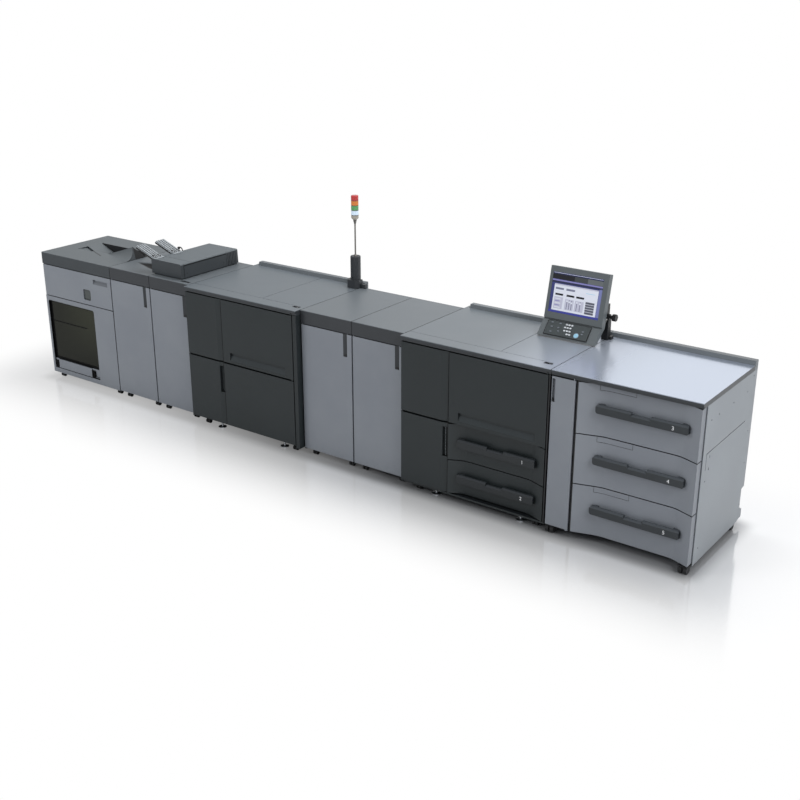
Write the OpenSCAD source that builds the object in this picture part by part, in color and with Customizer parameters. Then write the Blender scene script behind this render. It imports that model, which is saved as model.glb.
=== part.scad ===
// Tandem digital production printer line: paper feeder, printer engine, two relay
// units, second printer engine, guide unit with sheet inserter, folding unit and
// stacker, joined in one row. Millimetres, +X to the right, +Y to the back, +Z up.

/* [Row] */
// Height of the top plates above the floor
top_z = 1041; // [1000:1:1080]
// Depth from the engine fronts to the back of the feeder
row_d = 797; // [770:1:830]
// How far the slim units stand behind the engine fronts
set_back = 48; // [36:1:60]
// Depth of the slim units and of the stacker
unit_d = 680; // [640:1:700]
// Gap between neighbouring machines
seam = 4; // [2:0.5:7]
// Clearance around every door and drawer front
gap = 6; // [5.5:0.5:8]
// Running clearance of hinge pins and drawer runners
run_gap = 0.3; // [0.2:0.05:0.5]
// Thickness of the moulded doors
door_t = 24; // [20:1:28]
// Radius of the upright edges of doors and covers
edge_r = 3; // [1:0.5:5]
// Length over which the slopes of a dished front blend into its middle
dish_ease = 30; // [15:1:36]
// Radius of the hinge pins
pin_r = 3; // [2.5:0.5:4]
// Bevel along the front edge of the top plates
top_bevel = 3; // [1:0.5:5]
// Width of the engraved seams in plates and covers
seam_w = 2.4; // [1:0.2:3]

/* [Widths] */
// Width of the stacker
stacker_w = 802; // [760:1:840]
// Width of the folding unit
fold_w = 433; // [400:1:460]
// Width of the guide unit
guide_w = 417; // [390:1:460]
// Width of the relay unit beside the second engine
relay_1_w = 437; // [400:1:460]
// Width of the relay unit beside the first engine
relay_2_w = 422; // [400:1:460]
// Width of the paper feeder
feeder_w = 925; // [890:1:960]

/* [Feeder] */
// Height of the feeder's underside
feeder_base_z = 52; // [48:1:56]
// Radius of the feeder's casters
feeder_caster_r = 25; // [18:1:25]
// Thickness of the feeder's top plate
feeder_top_t = 31; // [24:1:36]
// Width of the narrow door
narrow_door_w = 151; // [120:1:180]
// Width of the black post between narrow door and drawers
post_w = 9; // [6:1:14]
// Depth of the hollow in a drawer front
dish = 45; // [30:1:48]
// Thickness of a drawer front at its ends
front_t = 56; // [52:1:64]
// Length of the left slope of a feeder drawer front
drawer_slope_l = 161; // [120:1:180]
// Length of the right slope of a feeder drawer front
drawer_slope_r = 118; // [100:1:140]
// Depth of a drawer behind its front
drawer_d = 560; // [500:1:590]
// Wall of a drawer
drawer_wall = 4; // [2.5:0.5:6]
// Width of the size label engraved in a drawer front
label_w = 220; // [180:1:260]
// Distance of that label from the drawer front's left edge
label_in = 118; // [90:1:140]
// Height of that label
label_h = 34; // [26:1:42]
// Height of the raised rail along the back of the feeder and the engines
rail_h = 26; // [18:1:36]
// Depth of the raised rail
rail_d = 44; // [30:1:60]
// How far the feeder's back wall stands in from its side panel
rear_inset = 40; // [30:1:50]
// Set-in of the side panel's flap slit from its front edge
flap_in = 48; // [40:1:60]
// Lower end of that slit above the floor
flap_z = 609; // [560:1:650]
// Length of that slit along the panel
flap_l = 571; // [500:1:590]
// Height of that slit
flap_h = 104; // [80:1:130]
// Lower edge of the notch in the side panel's rear edge
notch_z = 128; // [110:1:150]
// Height of that notch
notch_h = 124; // [100:1:150]
// Spacing of the screw holes along the side panel's depth
hole_pitch_y = 107; // [90:1:115]
// Spacing of the screw holes along the side panel's height
hole_pitch_z = 138; // [120:1:142]

/* [Handles] */
// Height of a feeder drawer handle
drawer_handle_h = 51; // [40:1:60]
// Height of a tray handle
tray_handle_h = 54; // [40:1:60]
// Thickness of the handle bar
handle_t = 22; // [16:1:26]
// Set-back of the handle's face from the ends of the front
handle_y = 4; // [2:1:8]
// Radius of the handle's left end
handle_r_l = 15; // [8:1:20]
// Radius of the handle's right end
handle_r_r = 8; // [4:1:14]
// Bevel along the handle's upper edge
handle_bevel = 9; // [5:1:12]
// Depth of the step in the handle's upper edge
handle_step = 12; // [8:1:16]
// Width of the step in the handle's upper edge
handle_step_w = 118; // [80:1:150]
// Where the step starts, as a share of the handle's length
handle_step_at = 0.39; // [0.3:0.01:0.5]
// Where the handle starts on the left slope, as a share of the slope
handle_reach_l = 0.69; // [0.5:0.01:0.8]
// Where the handle ends on the right slope, as a share of the slope
handle_reach_r = 0.59; // [0.5:0.01:0.8]

/* [Engines] */
// Height of the engines' underside
engine_base_z = 43; // [36:1:50]
// Thickness of the engines' top plate
engine_top_t = 32; // [26:1:38]
// Height of the split between upper and lower doors
split_z = 540; // [520:1:560]
// Width of the left covers of the first engine
left_w_1 = 357; // [330:1:380]
// Width of the front door of the first engine
front_w_1 = 685; // [660:1:700]
// Width of the left covers of the second engine
left_w_2 = 342; // [320:1:360]
// Width of the front door of the second engine
front_w_2 = 654; // [630:1:670]
// Width of the black strip at the right of the first engine
strip_w_1 = 8; // [5:1:14]
// Width of the dark strip at the right of the second engine
strip_w_2 = 32; // [22:1:42]
// Height of the split between the two trays
tray_split_z = 290; // [270:1:310]
// Length of the left slope of a tray front
tray_slope_l = 92; // [70:1:120]
// Length of the right slope of a tray front
tray_slope_r = 118; // [90:1:140]
// Depth of a tray behind its front
tray_d = 540; // [500:1:590]
// Width of the set-in cheek at the right edge of the left covers
cheek_w = 46; // [30:1:60]
// Depth of that cheek
cheek_d = 9; // [5:1:12]
// Height of the slanted grip in the front doors
front_grip_h = 60; // [40:1:70]

/* [Units] */
// Height of the underside of the slim units and the stacker
unit_base_z = 38; // [34:1:44]
// Radius of the small casters
unit_caster_r = 17; // [14:1:17]
// Height of the dark band above the unit doors
band_h = 92; // [80:1:104]
// Height of the long pocket grips in the doors
slot_h = 156; // [130:1:180]
// Width of the long pocket grips
slot_w = 35; // [26:1:40]
// Depth of the pocket grips
grip_d = 15; // [10:1:17]
// Length of the trough in the folding unit's top
hollow_l = 400; // [340:1:420]
// Width of that trough beside the inserter
hollow_w = 260; // [220:1:300]
// Depth of that trough beside the inserter
hollow_d = 58; // [40:1:70]
// Distance of its middle line from the unit's front
hollow_in = 232; // [200:1:260]

/* [Stacker] */
// Height of the split between upper door and window door
stacker_split_z = 690; // [670:1:710]
// Width of the window
window_w = 536; // [500:1:560]
// Lower edge of the window
window_z = 156; // [145:1:170]
// Upper edge of the window
window_top_z = 645; // [620:1:660]
// Thickness of the smoked sheet
window_t = 5; // [4:0.5:6]
// Set-back of the smoked sheet in its frame
window_in = 15; // [6:0.5:16]
// Height of the light strip below the window
strip_h = 74; // [60:1:84]
// Depth of the channel that holds the sheet
channel_h = 12; // [8:1:20]
// Radius of the window's upper corners
window_r = 12; // [6:1:20]
// Width of the black hinge blocks
hinge_block_w = 38; // [30:1:46]
// Width of the upper door's grip
door_grip_w = 164; // [130:1:190]
// Height of the upper door's grip
door_grip_h = 36; // [26:1:44]
// Side of the round-cornered recess in the upper door
recess_w = 84; // [70:1:96]
// Wall of the stacker's hollow housing
stacker_wall = 22; // [16:1:28]
// Height of the paper cart's deck above the stacker's floor
cart_h = 62; // [50:1:80]
// Slope of the sub tray's floor in degrees
tray_slope = 22; // [18:1:24]
// Length of the sub tray
sub_tray_l = 641; // [600:1:660]
// Width of the sub tray
sub_tray_w = 212; // [190:1:250]
// Distance of the sub tray from the stacker's back
well_in = 198; // [180:1:220]
// Height of the paper guide above the top at its right end
hood_h = 95; // [70:1:105]
// Length of the paper guide
hood_l = 313; // [280:1:340]
// Width of the paper guide at its right end
hood_w = 94; // [88:1:130]

/* [Inserter] */
// Width of the sheet inserter
inserter_w = 310; // [280:1:330]
// Depth of the sheet inserter
inserter_d = 592; // [560:1:620]
// Height of the sheet inserter above the top plates
inserter_h = 114; // [100:1:130]
// Set-back and height of its recessed foot
inserter_foot = 9; // [6:1:14]
// Length of its rear end cap
inserter_cap_l = 125; // [100:1:150]
// Tilt of the two sheet guides in degrees
guide_tilt = 20; // [14:1:24]
// Length of a sheet guide
guide_l = 196; // [170:1:230]
// Width of a sheet guide
guide_plate_w = 92; // [80:1:100]

/* [Lamp] */
// Distance of the lamp from the engine's back
lamp_in = 82; // [70:1:95]
// Radius of the lamp's column housing
column_r = 36.5; // [30:0.5:42]
// Radius of the lamp's pole
pole_r = 5.5; // [4:0.5:8]
// Radius of the signal lenses
lens_r = 26; // [22:0.5:30]
// Height of one signal lens
lens_h = 34; // [28:1:40]
// Visible length of the lamp's pole
pole_l = 260; // [220:1:300]

/* [Operation panel] */
// Width of the operation panel
panel_w = 399; // [370:1:420]
// Height of the display along its face
display_h = 331; // [300:1:350]
// Thickness of the display
display_t = 46; // [36:1:52]
// Backward lean of the display in degrees
display_lean = 12.4; // [8:0.1:18]
// Length of the key section along its face
keys_l = 117; // [100:1:125]
// Slope of the key section below the horizontal in degrees
keys_slope = 48; // [42:1:52]
// How far the foot of the key section stands in front of the tilt pivot
keys_reach = 190; // [180:1:200]
// Height of that foot above the top plates
keys_lift = 9; // [8:0.5:14]
// Distance of the tilt pivot from the engine's back
pivot_in = 107; // [95:1:120]
// Height of the raised key field
field_h = 5; // [3:0.5:7]
// Height of the tilt pivot above the top plates
pivot_h = 144; // [130:1:160]
// Side of the square column that carries the panel
post_side = 44; // [38:1:50]

/* [Hidden] */
$fn = 48;

SINK = 0.01;
light = "#868c95";
dark = "#3c4044";
top_grey = "#8b9299";
black = "#1b1c1e";

engine_1_w = left_w_1 + front_w_1 + strip_w_1 + 3 * gap + seam;
engine_2_w = left_w_2 + front_w_2 + strip_w_2 + 3 * gap + seam;
row_w = stacker_w + fold_w + guide_w + engine_2_w + relay_1_w + relay_2_w + engine_1_w + feeder_w;
x_stacker = -row_w / 2;
x_fold = x_stacker + stacker_w;
x_guide = x_fold + fold_w;
x_engine_2 = x_guide + guide_w;
x_relay_1 = x_engine_2 + engine_2_w;
x_relay_2 = x_relay_1 + relay_1_w;
x_engine_1 = x_relay_2 + relay_2_w;
x_feeder = x_engine_1 + engine_1_w;
x_end = x_feeder + feeder_w;
y_front = -row_d / 2;
y_back = row_d / 2;
y_unit = y_front + set_back;
y_unit_back = y_unit + unit_d;
hs = seam / 2;
// Hinge axis inside a door: from its side edge and from its face
hinge_in = 8;
hinge_deep = 4;
// Room behind a closed door, so that its swinging edge stays clear
back_gap = gap + 1.5;
front_ch = y_front + door_t + back_gap;
unit_ch = y_unit + door_t + back_gap;
pin_l = 7;
ear_t = 6;
skin_t = 3;
dock_d = 420;
dock_z = 640;
dock_h = 110;

// ---------- shared shapes ----------

// Outline with round corners: two crossed rectangles and four true circles
module round_rect(w, h, r) {
    translate([r, 0])
        square([w - 2 * r, h]);
    translate([0, r])
        square([w, h - 2 * r]);
    for (x = [r, w - r], y = [r, h - r])
        translate([x, y])
            circle(r);
}

// Upright plate between two corners, with round upright edges
module plate(x0, x1, y0, y1, z0, z1, r = edge_r) {
    translate([x0, y0, z0])
        linear_extrude(z1 - z0)
            round_rect(x1 - x0, y1 - y0, r);
}

module block(x0, x1, y0, y1, z0, z1) {
    translate([x0, y0, z0])
        cube([x1 - x0, y1 - y0, z1 - z0]);
}

// Extrudes an outline drawn in y and z along the row
module across(x0, x1) {
    translate([x0, 0, 0])
        rotate([90, 0, 90])
            linear_extrude(x1 - x0)
                children();
}

// Extrudes an outline drawn in x and z towards the back
module facing(y0, y1) {
    translate([0, y1, 0])
        rotate([90, 0, 0])
            linear_extrude(y1 - y0)
                children();
}

module rod_x(x0, x1, y, z, r) {
    translate([x0, y, z])
        rotate([0, 90, 0])
            cylinder(r = r, h = x1 - x0);
}

module rod_z(x, y, z0, z1, r) {
    translate([x, y, z0])
        cylinder(r = r, h = z1 - z0);
}

function hinge_x(x0, x1, side) = side < 0 ? x0 + hinge_in : x1 - hinge_in;

// Lower and upper hinge pin of a door that spans z0 to z1
module hinge_pins(hx, y, z0, z1, reach) {
    rod_z(hx, y + hinge_deep, z0 - ear_t, z0 + SINK, pin_r);
    rod_z(hx, y + hinge_deep, z1 - SINK, z1 + reach, pin_r);
}

// Bore that takes a hinge pin
module pin_bore(hx, y, z0, z1) {
    rod_z(hx, y + hinge_deep, z0, z1, pin_r + run_gap);
}

// Ear that holds one hinge pin, its lower face at z0
module hinge_ear(hx, y, y_to, z0) {
    difference() {
        block(hx - hinge_in, hx + hinge_in, y, y_to, z0, z0 + ear_t);
        pin_bore(hx, y, z0 - 1, z0 + ear_t + 1);
    }
}

// Scooped grip: its floor slopes in from one side and ends in an upright wall
module scoop_grip(x, w, z0, z1, y, side) {
    slope_w = w * 0.7;
    translate([side > 0 ? x : x + w, y, z0])
        linear_extrude(z1 - z0)
            polygon([[0, -1], [0, 0], [side * slope_w, grip_d], [side * w, grip_d], [side * w, -1]]);
}

// Slanted grip below an undercut edge, running along the row
module slant_grip(x0, x1, z_top, h, y) {
    across(x0, x1)
        polygon([[y - 1, z_top], [y + grip_d, z_top - h * 0.08], [y + grip_d, z_top - h * 0.35],
            [y, z_top - h], [y - 1, z_top - h]]);
}

// Docking block that bridges the seam between two machines at the paper's height
module dock(x0, x1) {
    block(x0, x1, -dock_d / 2, dock_d / 2, dock_z, dock_z + dock_h);
}

// Points of a soft corner at b on the way from a to c
function toward(b, a) = b + dish_ease * (a - b) / norm(a - b);
function soft(a, b, c) = [for (i = [0 : 6]) let (t = i / 6)
    (1 - t) * (1 - t) * toward(b, a) + 2 * t * (1 - t) * b + t * t * toward(b, c)];

// Plan of a drawer front: flush ends and a dished middle that the slopes blend into
module dished_plan(w, slope_l, slope_r) {
    foot_l = [slope_l, dish];
    foot_r = [w - slope_r, dish];
    polygon(concat([[0, 0]], soft([0, 0], foot_l, foot_r), soft(foot_l, foot_r, [w, 0]),
        [[w, 0], [w, front_t], [0, front_t]]));
}

module dished_front(x0, x1, z0, z1, slope_l, slope_r) {
    translate([x0, y_front, z0])
        linear_extrude(z1 - z0)
            dished_plan(x1 - x0, slope_l, slope_r);
}

// One length of handle bar, bevelled along its upper edge
module bar_length(x0, x1, z0, h) {
    y0 = y_front + handle_y;
    y1 = y0 + handle_t;
    across(x0, x1)
        polygon([[y0, z0], [y1, z0], [y1, z0 + h], [y0 + handle_bevel, z0 + h],
            [y0, z0 + h - handle_bevel]]);
}

// Front view of a handle bar: its left end rounder than its right end
module bar_outline(w, h) {
    round_rect(w / 2 + handle_t, h, handle_r_l);
    translate([w / 2, 0])
        round_rect(w / 2, h, handle_r_r);
    translate([w / 2, 0])
        square([handle_t, h]);
}

// Handle that bridges the dished middle: stepped bar, round ends, cut to seat on the slopes
module bridge_handle(x0, x1, zc, h, slope_l, slope_r) {
    hx0 = x0 + slope_l * handle_reach_l;
    hx1 = x1 - slope_r * handle_reach_r;
    z0 = zc - h / 2;
    step_x0 = hx0 + (hx1 - hx0) * handle_step_at;
    step_x1 = step_x0 + handle_step_w;
    seat_w = handle_t * 2;
    y_in = y_front + handle_y + handle_t;
    difference() {
        intersection() {
            union() {
                bar_length(hx0, step_x0, z0, h);
                bar_length(step_x0 - SINK, step_x1 + SINK, z0, h - handle_step);
                bar_length(step_x1, hx1, z0, h);
                for (x = [hx0, hx1 - seat_w])
                    block(x, x + seat_w, y_in - SINK, y_front + dish, z0, z0 + h);
            }
            translate([hx0, y_front + dish, z0])
                rotate([90, 0, 0])
                    linear_extrude(dish)
                        bar_outline(hx1 - hx0, h);
        }
        dished_front(x0, x1, z0 - 1, z0 + h + 1, slope_l, slope_r);
    }
}

// Open box of a drawer, with a runner on each side
side_room = 22;
runner_w = side_room - gap;
runner_h = 12;
runner_up = 40;
runner_in = 20;
box_up = 14;
module drawer_box(wall_l, wall_r, z0, z1, depth) {
    x0 = wall_l + side_room;
    x1 = wall_r - side_room;
    y0 = y_front + front_t;
    y1 = y0 + depth;
    difference() {
        block(x0, x1, y0 - SINK, y1, z0, z1);
        block(x0 + drawer_wall, x1 - drawer_wall, y0 + drawer_wall, y1 - drawer_wall,
            z0 + drawer_wall, z1 + 1);
    }
    for (x = [x0 - runner_w, x1 - SINK])
        block(x, x + runner_w + SINK, y0 + runner_in, y1, z0 + runner_up, z0 + runner_up + runner_h);
}

// Ledges on the walls of a bay that carry a drawer's runners
module ledges(wall_l, wall_r, box_z, depth) {
    z1 = box_z + runner_up - run_gap;
    y0 = y_front + front_t + runner_in;
    for (x = [wall_l - SINK, wall_r - runner_w])
        block(x, x + runner_w + SINK, y0, y0 + depth, z1 - runner_h, z1);
}

// ---------- feeder ----------
fx0 = x_feeder + hs;
fx1 = x_end - hs;
narrow_x0 = fx0 + gap;
narrow_x1 = narrow_x0 + narrow_door_w;
post_x0 = narrow_x1 + gap;
post_x1 = post_x0 + post_w;
drawer_x0 = post_x1 + gap;
drawer_x1 = fx1 - gap;
feeder_plate_z = top_z - feeder_top_t;
drawer_base_z = feeder_base_z + 5;
drawer_h = (feeder_plate_z - gap - drawer_base_z - 2 * gap) / 3;
function drawer_z(n) = drawer_base_z + (5 - n) * (drawer_h + gap);
side_wall = 14;
back_wall = 16;
base_t = 12;
bay_y = y_front + front_t + gap;
feeder_rear = y_back - rear_inset;
handle_share = 0.55;
box_short = 40;

module feeder_cabinet() {
    relief = 12;
    margin = 30;
    color(light) {
        dock(fx0 - seam, fx0 + 1);
        difference() {
            block(fx0, post_x1, front_ch, feeder_rear, feeder_base_z, feeder_plate_z);
            block(fx0 + margin, narrow_x1 - margin, front_ch - 1, front_ch + relief,
                feeder_base_z + margin, feeder_plate_z - margin);
        }
        block(fx0, fx1 - skin_t, bay_y, feeder_rear, feeder_base_z, feeder_base_z + base_t);
        block(fx1 - side_wall, fx1 - skin_t, bay_y, feeder_rear, feeder_base_z, feeder_plate_z);
        block(fx0, fx1 - skin_t, feeder_rear - back_wall, feeder_rear, feeder_base_z, feeder_plate_z);
        hinge_ear(hinge_x(narrow_x0, narrow_x1, 1), y_front, front_ch + 1,
            drawer_base_z - run_gap - ear_t);
        for (n = [3, 4, 5])
            ledges(post_x1, fx1 - side_wall, drawer_z(n) + box_up, drawer_d);
    }
}

// Sheet side panel: stepped rear edge, cable flap slit and screw holes
side_z0 = feeder_base_z - 14;
module feeder_side_panel() {
    y0 = bay_y;
    flap_y = y0 + flap_in;
    flap_top = flap_z + flap_h;
    flap_end = flap_y + flap_l;
    slit = 4;
    hole_r = 4.5;
    low_corner = 12;
    color(light)
    difference() {
        across(fx1 - skin_t, fx1)
            polygon([[y0, side_z0], [feeder_rear - flap_in, side_z0], [feeder_rear, side_z0 + low_corner],
                [y_back, side_z0 + low_corner], [y_back, notch_z - 2 * low_corner], [feeder_rear, notch_z],
                [feeder_rear, notch_z + notch_h], [y_back, notch_z + notch_h + low_corner / 2],
                [y_back, feeder_plate_z], [y0, feeder_plate_z]]);
        across(fx1 - skin_t - 1, fx1 + 1) {
            polygon([[flap_y, flap_z], [flap_y + slit, flap_z], [flap_y + slit, flap_top - slit],
                [flap_end, flap_top + slit], [flap_end, flap_top + 2 * slit], [flap_y, flap_top]]);
            for (n = [0, 1, 3, 5])
                translate([flap_y + low_corner * 2 + n * hole_pitch_y, feeder_plate_z - flap_h])
                    circle(hole_r);
            for (n = [0, 2, 3.5, 6])
                translate([y_back - flap_in, notch_z + 2 * low_corner + n * hole_pitch_z])
                    circle(hole_r);
            for (n = [0, 3])
                translate([flap_y + low_corner, notch_z + n * hole_pitch_z])
                    circle(hole_r);
            for (z = [flap_z - low_corner, flap_z + flap_h * 0.6])
                translate([flap_y + flap_in, z])
                    square([1.5 * slit, 4 * slit]);
        }
    }
}

module feeder_door() {
    z1 = feeder_plate_z - gap;
    hx = hinge_x(narrow_x0, narrow_x1, 1);
    grip_w = slot_w * 0.6;
    color(light) {
        difference() {
            plate(narrow_x0, narrow_x1, y_front, y_front + door_t, drawer_base_z, z1);
            scoop_grip(narrow_x0 + edge_r + 1, grip_w, z1 - slot_h, z1 - 14, y_front, -1);
        }
        hinge_pins(hx, y_front, drawer_base_z, z1, gap + pin_l);
    }
}

// Outline of the size label, seen from the front
module label_outline(x0, z_top) {
    z0 = z_top - label_h;
    translate([x0, z0])
        difference() {
            square([label_w, label_h + 1]);
            translate([seam_w, seam_w])
                square([label_w - 2 * seam_w, label_h + 1]);
        }
}

module feeder_drawer(n) {
    z0 = drawer_z(n);
    z1 = z0 + drawer_h;
    label_x = drawer_x0 + label_in;
    color(light) {
        difference() {
            dished_front(drawer_x0, drawer_x1, z0, z1, drawer_slope_l, drawer_slope_r);
            difference() {
                facing(y_front - 1, y_front + front_t - 1)
                    label_outline(label_x, z1);
                translate([0, seam_w, 0])
                    dished_front(drawer_x0 - seam_w, drawer_x1 + seam_w, z0, z1 + 2,
                        drawer_slope_l, drawer_slope_r);
            }
        }
        drawer_box(post_x1, fx1 - side_wall, z0 + box_up, z1 - box_short, drawer_d);
    }
}
module drawer_3() { feeder_drawer(3); }
module drawer_4() { feeder_drawer(4); }
module drawer_5() { feeder_drawer(5); }

module feeder_handle(n) {
    color(dark)
        bridge_handle(drawer_x0, drawer_x1, drawer_z(n) + drawer_h * handle_share, drawer_handle_h,
            drawer_slope_l, drawer_slope_r);
}
module drawer_3_handle() { feeder_handle(3); }
module drawer_4_handle() { feeder_handle(4); }
module drawer_5_handle() { feeder_handle(5); }

// ---------- engines ----------
engine_plate_z = top_z - engine_top_t;
e1_x0 = x_engine_1 + hs;
e1_x1 = x_feeder - hs;
left1_x0 = e1_x0 + gap;
left1_x1 = left1_x0 + left_w_1;
front1_x0 = left1_x1 + gap;
front1_x1 = front1_x0 + front_w_1;
e2_x0 = x_engine_2 + hs;
e2_x1 = x_relay_1 - hs;
left2_x0 = e2_x0 + gap;
left2_x1 = left2_x0 + left_w_2;
front2_x0 = left2_x1 + gap;
front2_x1 = front2_x0 + front_w_2;
upper_z0 = split_z + gap;
upper_z1 = engine_plate_z - gap;
lower_z0 = engine_base_z + base_t + gap;
lower_z1 = split_z - gap;
engine_back = y_back - 8;
tray_1_z0 = tray_split_z + gap / 2;
tray_2_z1 = tray_split_z - gap / 2;
tray_short = 34;

module engine_1_housing() {
    bay_top = upper_z0 - gap + 1;
    color(dark) {
        block(e1_x0, front1_x0, front_ch, engine_back, engine_base_z, engine_plate_z);
        block(e1_x0, e1_x1, front_ch, engine_back, bay_top, engine_plate_z);
        block(e1_x0, e1_x1, y_front + base_t, engine_back, engine_base_z, engine_base_z + base_t);
        block(e1_x0, e1_x1, engine_back - back_wall, engine_back, engine_base_z, engine_plate_z);
        block(front1_x1 + gap, e1_x1, front_ch, engine_back, engine_base_z, engine_plate_z);
        hinge_ear(hinge_x(front1_x0, front1_x1, 1), y_front, front_ch + 1, upper_z0 - run_gap - ear_t);
        for (z = [lower_z0 - run_gap - ear_t, lower_z1 + run_gap])
            hinge_ear(hinge_x(left1_x0, left1_x1, -1), y_front, front_ch + 1, z);
        for (z = [tray_1_z0, lower_z0])
            ledges(front1_x0, front1_x1 + gap, z + box_up, tray_d);
    }
}

module engine_2_housing() {
    color(dark) {
        block(e2_x0, e2_x1, front_ch, engine_back, engine_base_z, engine_plate_z);
        plate(front2_x1 + gap, e2_x1, y_front + 1, front_ch + base_t, engine_base_z, engine_plate_z);
        hinge_ear(hinge_x(front2_x0, front2_x1, 1), y_front, front_ch + 1, upper_z0 - run_gap - ear_t);
        for (z = [lower_z0 - run_gap - ear_t, lower_z1 + run_gap])
            hinge_ear(hinge_x(left2_x0, left2_x1, -1), y_front, front_ch + 1, z);
    }
}

// Cover or door whose right edge ends in a slanted, set-in cheek
module cheeked_plate(x0, x1, y1, z0, z1) {
    difference() {
        plate(x0, x1, y_front, y1, z0, z1);
        translate([x1, y_front, z0 - 1])
            linear_extrude(z1 - z0 + 2)
                polygon([[-cheek_w, -1], [-cheek_w, 0], [-edge_r, cheek_d], [1, cheek_d], [1, -1]]);
    }
}

module engine_covers() {
    color(dark) {
        cheeked_plate(left1_x0, left1_x1, front_ch, upper_z0, upper_z1);
        cheeked_plate(left2_x0, left2_x1, front_ch, upper_z0, upper_z1);
        plate(front2_x0, front2_x1, y_front, front_ch, lower_z0, lower_z1);
    }
}

// Lower side door with its long upright grip; the grip holds a ribbed bar if ribbed is true
side_grip_h = 200;
side_grip_w = 34;
module side_door(x0, x1, ribbed) {
    hx = hinge_x(x0, x1, -1);
    gx1 = x1 - edge_r;
    gx0 = gx1 - side_grip_w;
    gz1 = lower_z1 - 28;
    gz0 = gz1 - side_grip_h;
    floor_y = y_front + door_t - drawer_wall;
    bar_w = 6;
    bar_y = y_front + cheek_d + 6;
    rib_pitch = 10;
    difference() {
        cheeked_plate(x0, x1, y_front + door_t, lower_z0, lower_z1);
        block(gx0, gx1, y_front - 1, floor_y, gz0, gz1);
    }
    hinge_pins(hx, y_front, lower_z0, lower_z1, ear_t);
    if (ribbed) {
        xc = (gx0 + gx1) / 2;
        block(xc - bar_w / 2, xc + bar_w / 2, bar_y, floor_y + SINK, gz0 - SINK, gz1 + SINK);
        for (z = [gz0 + rib_pitch : rib_pitch : gz1 - rib_pitch])
            block(xc - bar_w, xc + bar_w, bar_y + 2, floor_y + SINK, z - 1, z + 1);
    }
}
module engine_1_side_door() { color(dark) side_door(left1_x0, left1_x1, true); }
module engine_2_side_door() { color(dark) side_door(left2_x0, left2_x1, false); }

// Front door with its long slanted grip near the lower edge
module engine_front_door(x0, x1) {
    w = x1 - x0;
    grip_l = w * 0.79;
    grip_x = x0 + w * 0.104;
    difference() {
        plate(x0, x1, y_front, y_front + door_t, upper_z0, upper_z1);
        slant_grip(grip_x, grip_x + grip_l, upper_z0 + gap * 3 + front_grip_h, front_grip_h, y_front);
    }
    hinge_pins(hinge_x(x0, x1, 1), y_front, upper_z0, upper_z1, gap + pin_l);
}
module engine_1_front_door() { color(dark) engine_front_door(front1_x0, front1_x1); }
module engine_2_front_door() { color(dark) engine_front_door(front2_x0, front2_x1); }

module paper_tray(z0, z1) {
    dished_front(front1_x0, front1_x1, z0, z1, tray_slope_l, tray_slope_r);
    drawer_box(front1_x0, front1_x1 + gap, z0 + box_up, z1 - tray_short, tray_d);
}
module tray_1() { color(dark) paper_tray(tray_1_z0, lower_z1); }
module tray_2() { color(dark) paper_tray(lower_z0, tray_2_z1); }

module tray_handle(z0, z1) {
    bridge_handle(front1_x0, front1_x1, (z0 + z1) / 2, tray_handle_h, tray_slope_l, tray_slope_r);
}
module tray_1_handle() { color(dark) tray_handle(tray_1_z0, lower_z1); }
module tray_2_handle() { color(dark) tray_handle(lower_z0, tray_2_z1); }

// ---------- top plates of engines and feeder ----------
latch_w = 50;
latch_d = 20;
latch_in = 36;
seam_y = 104;

// Bevelled top plate with the raised rail along its back
module rail_top(x0, x1, plate_z, rail_x0) {
    lip = 6;
    across(x0, x1)
        polygon([[y_front + lip, plate_z], [y_back, plate_z], [y_back, top_z],
            [y_front + top_bevel, top_z], [y_front, top_z - top_bevel],
            [y_front, top_z - engine_top_t / 2], [y_front + lip, top_z - engine_top_t / 2]]);
    across(rail_x0, x1)
        polygon([[y_back - rail_d, top_z - SINK], [y_back, top_z - SINK], [y_back, top_z + rail_h],
            [y_back - rail_d + top_bevel * 2, top_z + rail_h]]);
}

// Engine's top with its latch slot and the engraved seams of its front strip
module engine_top(x0, x1, hx) {
    seam_x = x0 + (x1 - x0) * 0.625;
    rail_in = 30;
    difference() {
        rail_top(x0, x1, engine_plate_z, x0 + rail_in);
        pin_bore(hx, y_front, engine_plate_z - 1, engine_plate_z + pin_l + 1);
        block(x1 - latch_in - latch_w, x1 - latch_in, y_front + latch_in * 2,
            y_front + latch_in * 2 + latch_d, top_z - latch_d / 2, top_z + 1);
        block(x0 - 1, x1 - latch_in, y_front + seam_y, y_front + seam_y + seam_w,
            top_z - seam_w, top_z + 1);
        block(seam_x, seam_x + seam_w, y_front + seam_y, y_back - rail_d - seam_w,
            top_z - seam_w, top_z + 1);
    }
}

module machine_tops() {
    color(top_grey) {
        engine_top(e1_x0, e1_x1, hinge_x(front1_x0, front1_x1, 1));
        engine_top(e2_x0, e2_x1, hinge_x(front2_x0, front2_x1, 1));
        difference() {
            rail_top(fx0, fx1, feeder_plate_z, fx0);
            pin_bore(hinge_x(narrow_x0, narrow_x1, 1), y_front, feeder_plate_z - 1,
                feeder_plate_z + pin_l + 1);
        }
    }
}

// ---------- slim units ----------
unit_door_z0 = unit_base_z + gap;
unit_band_z = top_z - band_h;
unit_door_z1 = unit_band_z - gap;
unit_door_in = gap / 2;
UNITS = [[x_fold, fold_w], [x_guide, guide_w], [x_relay_1, relay_1_w], [x_relay_2, relay_2_w]];
function unit_hinge(x, w) = hinge_x(x + hs + unit_door_in, x + w - hs - unit_door_in, -1);

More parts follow.
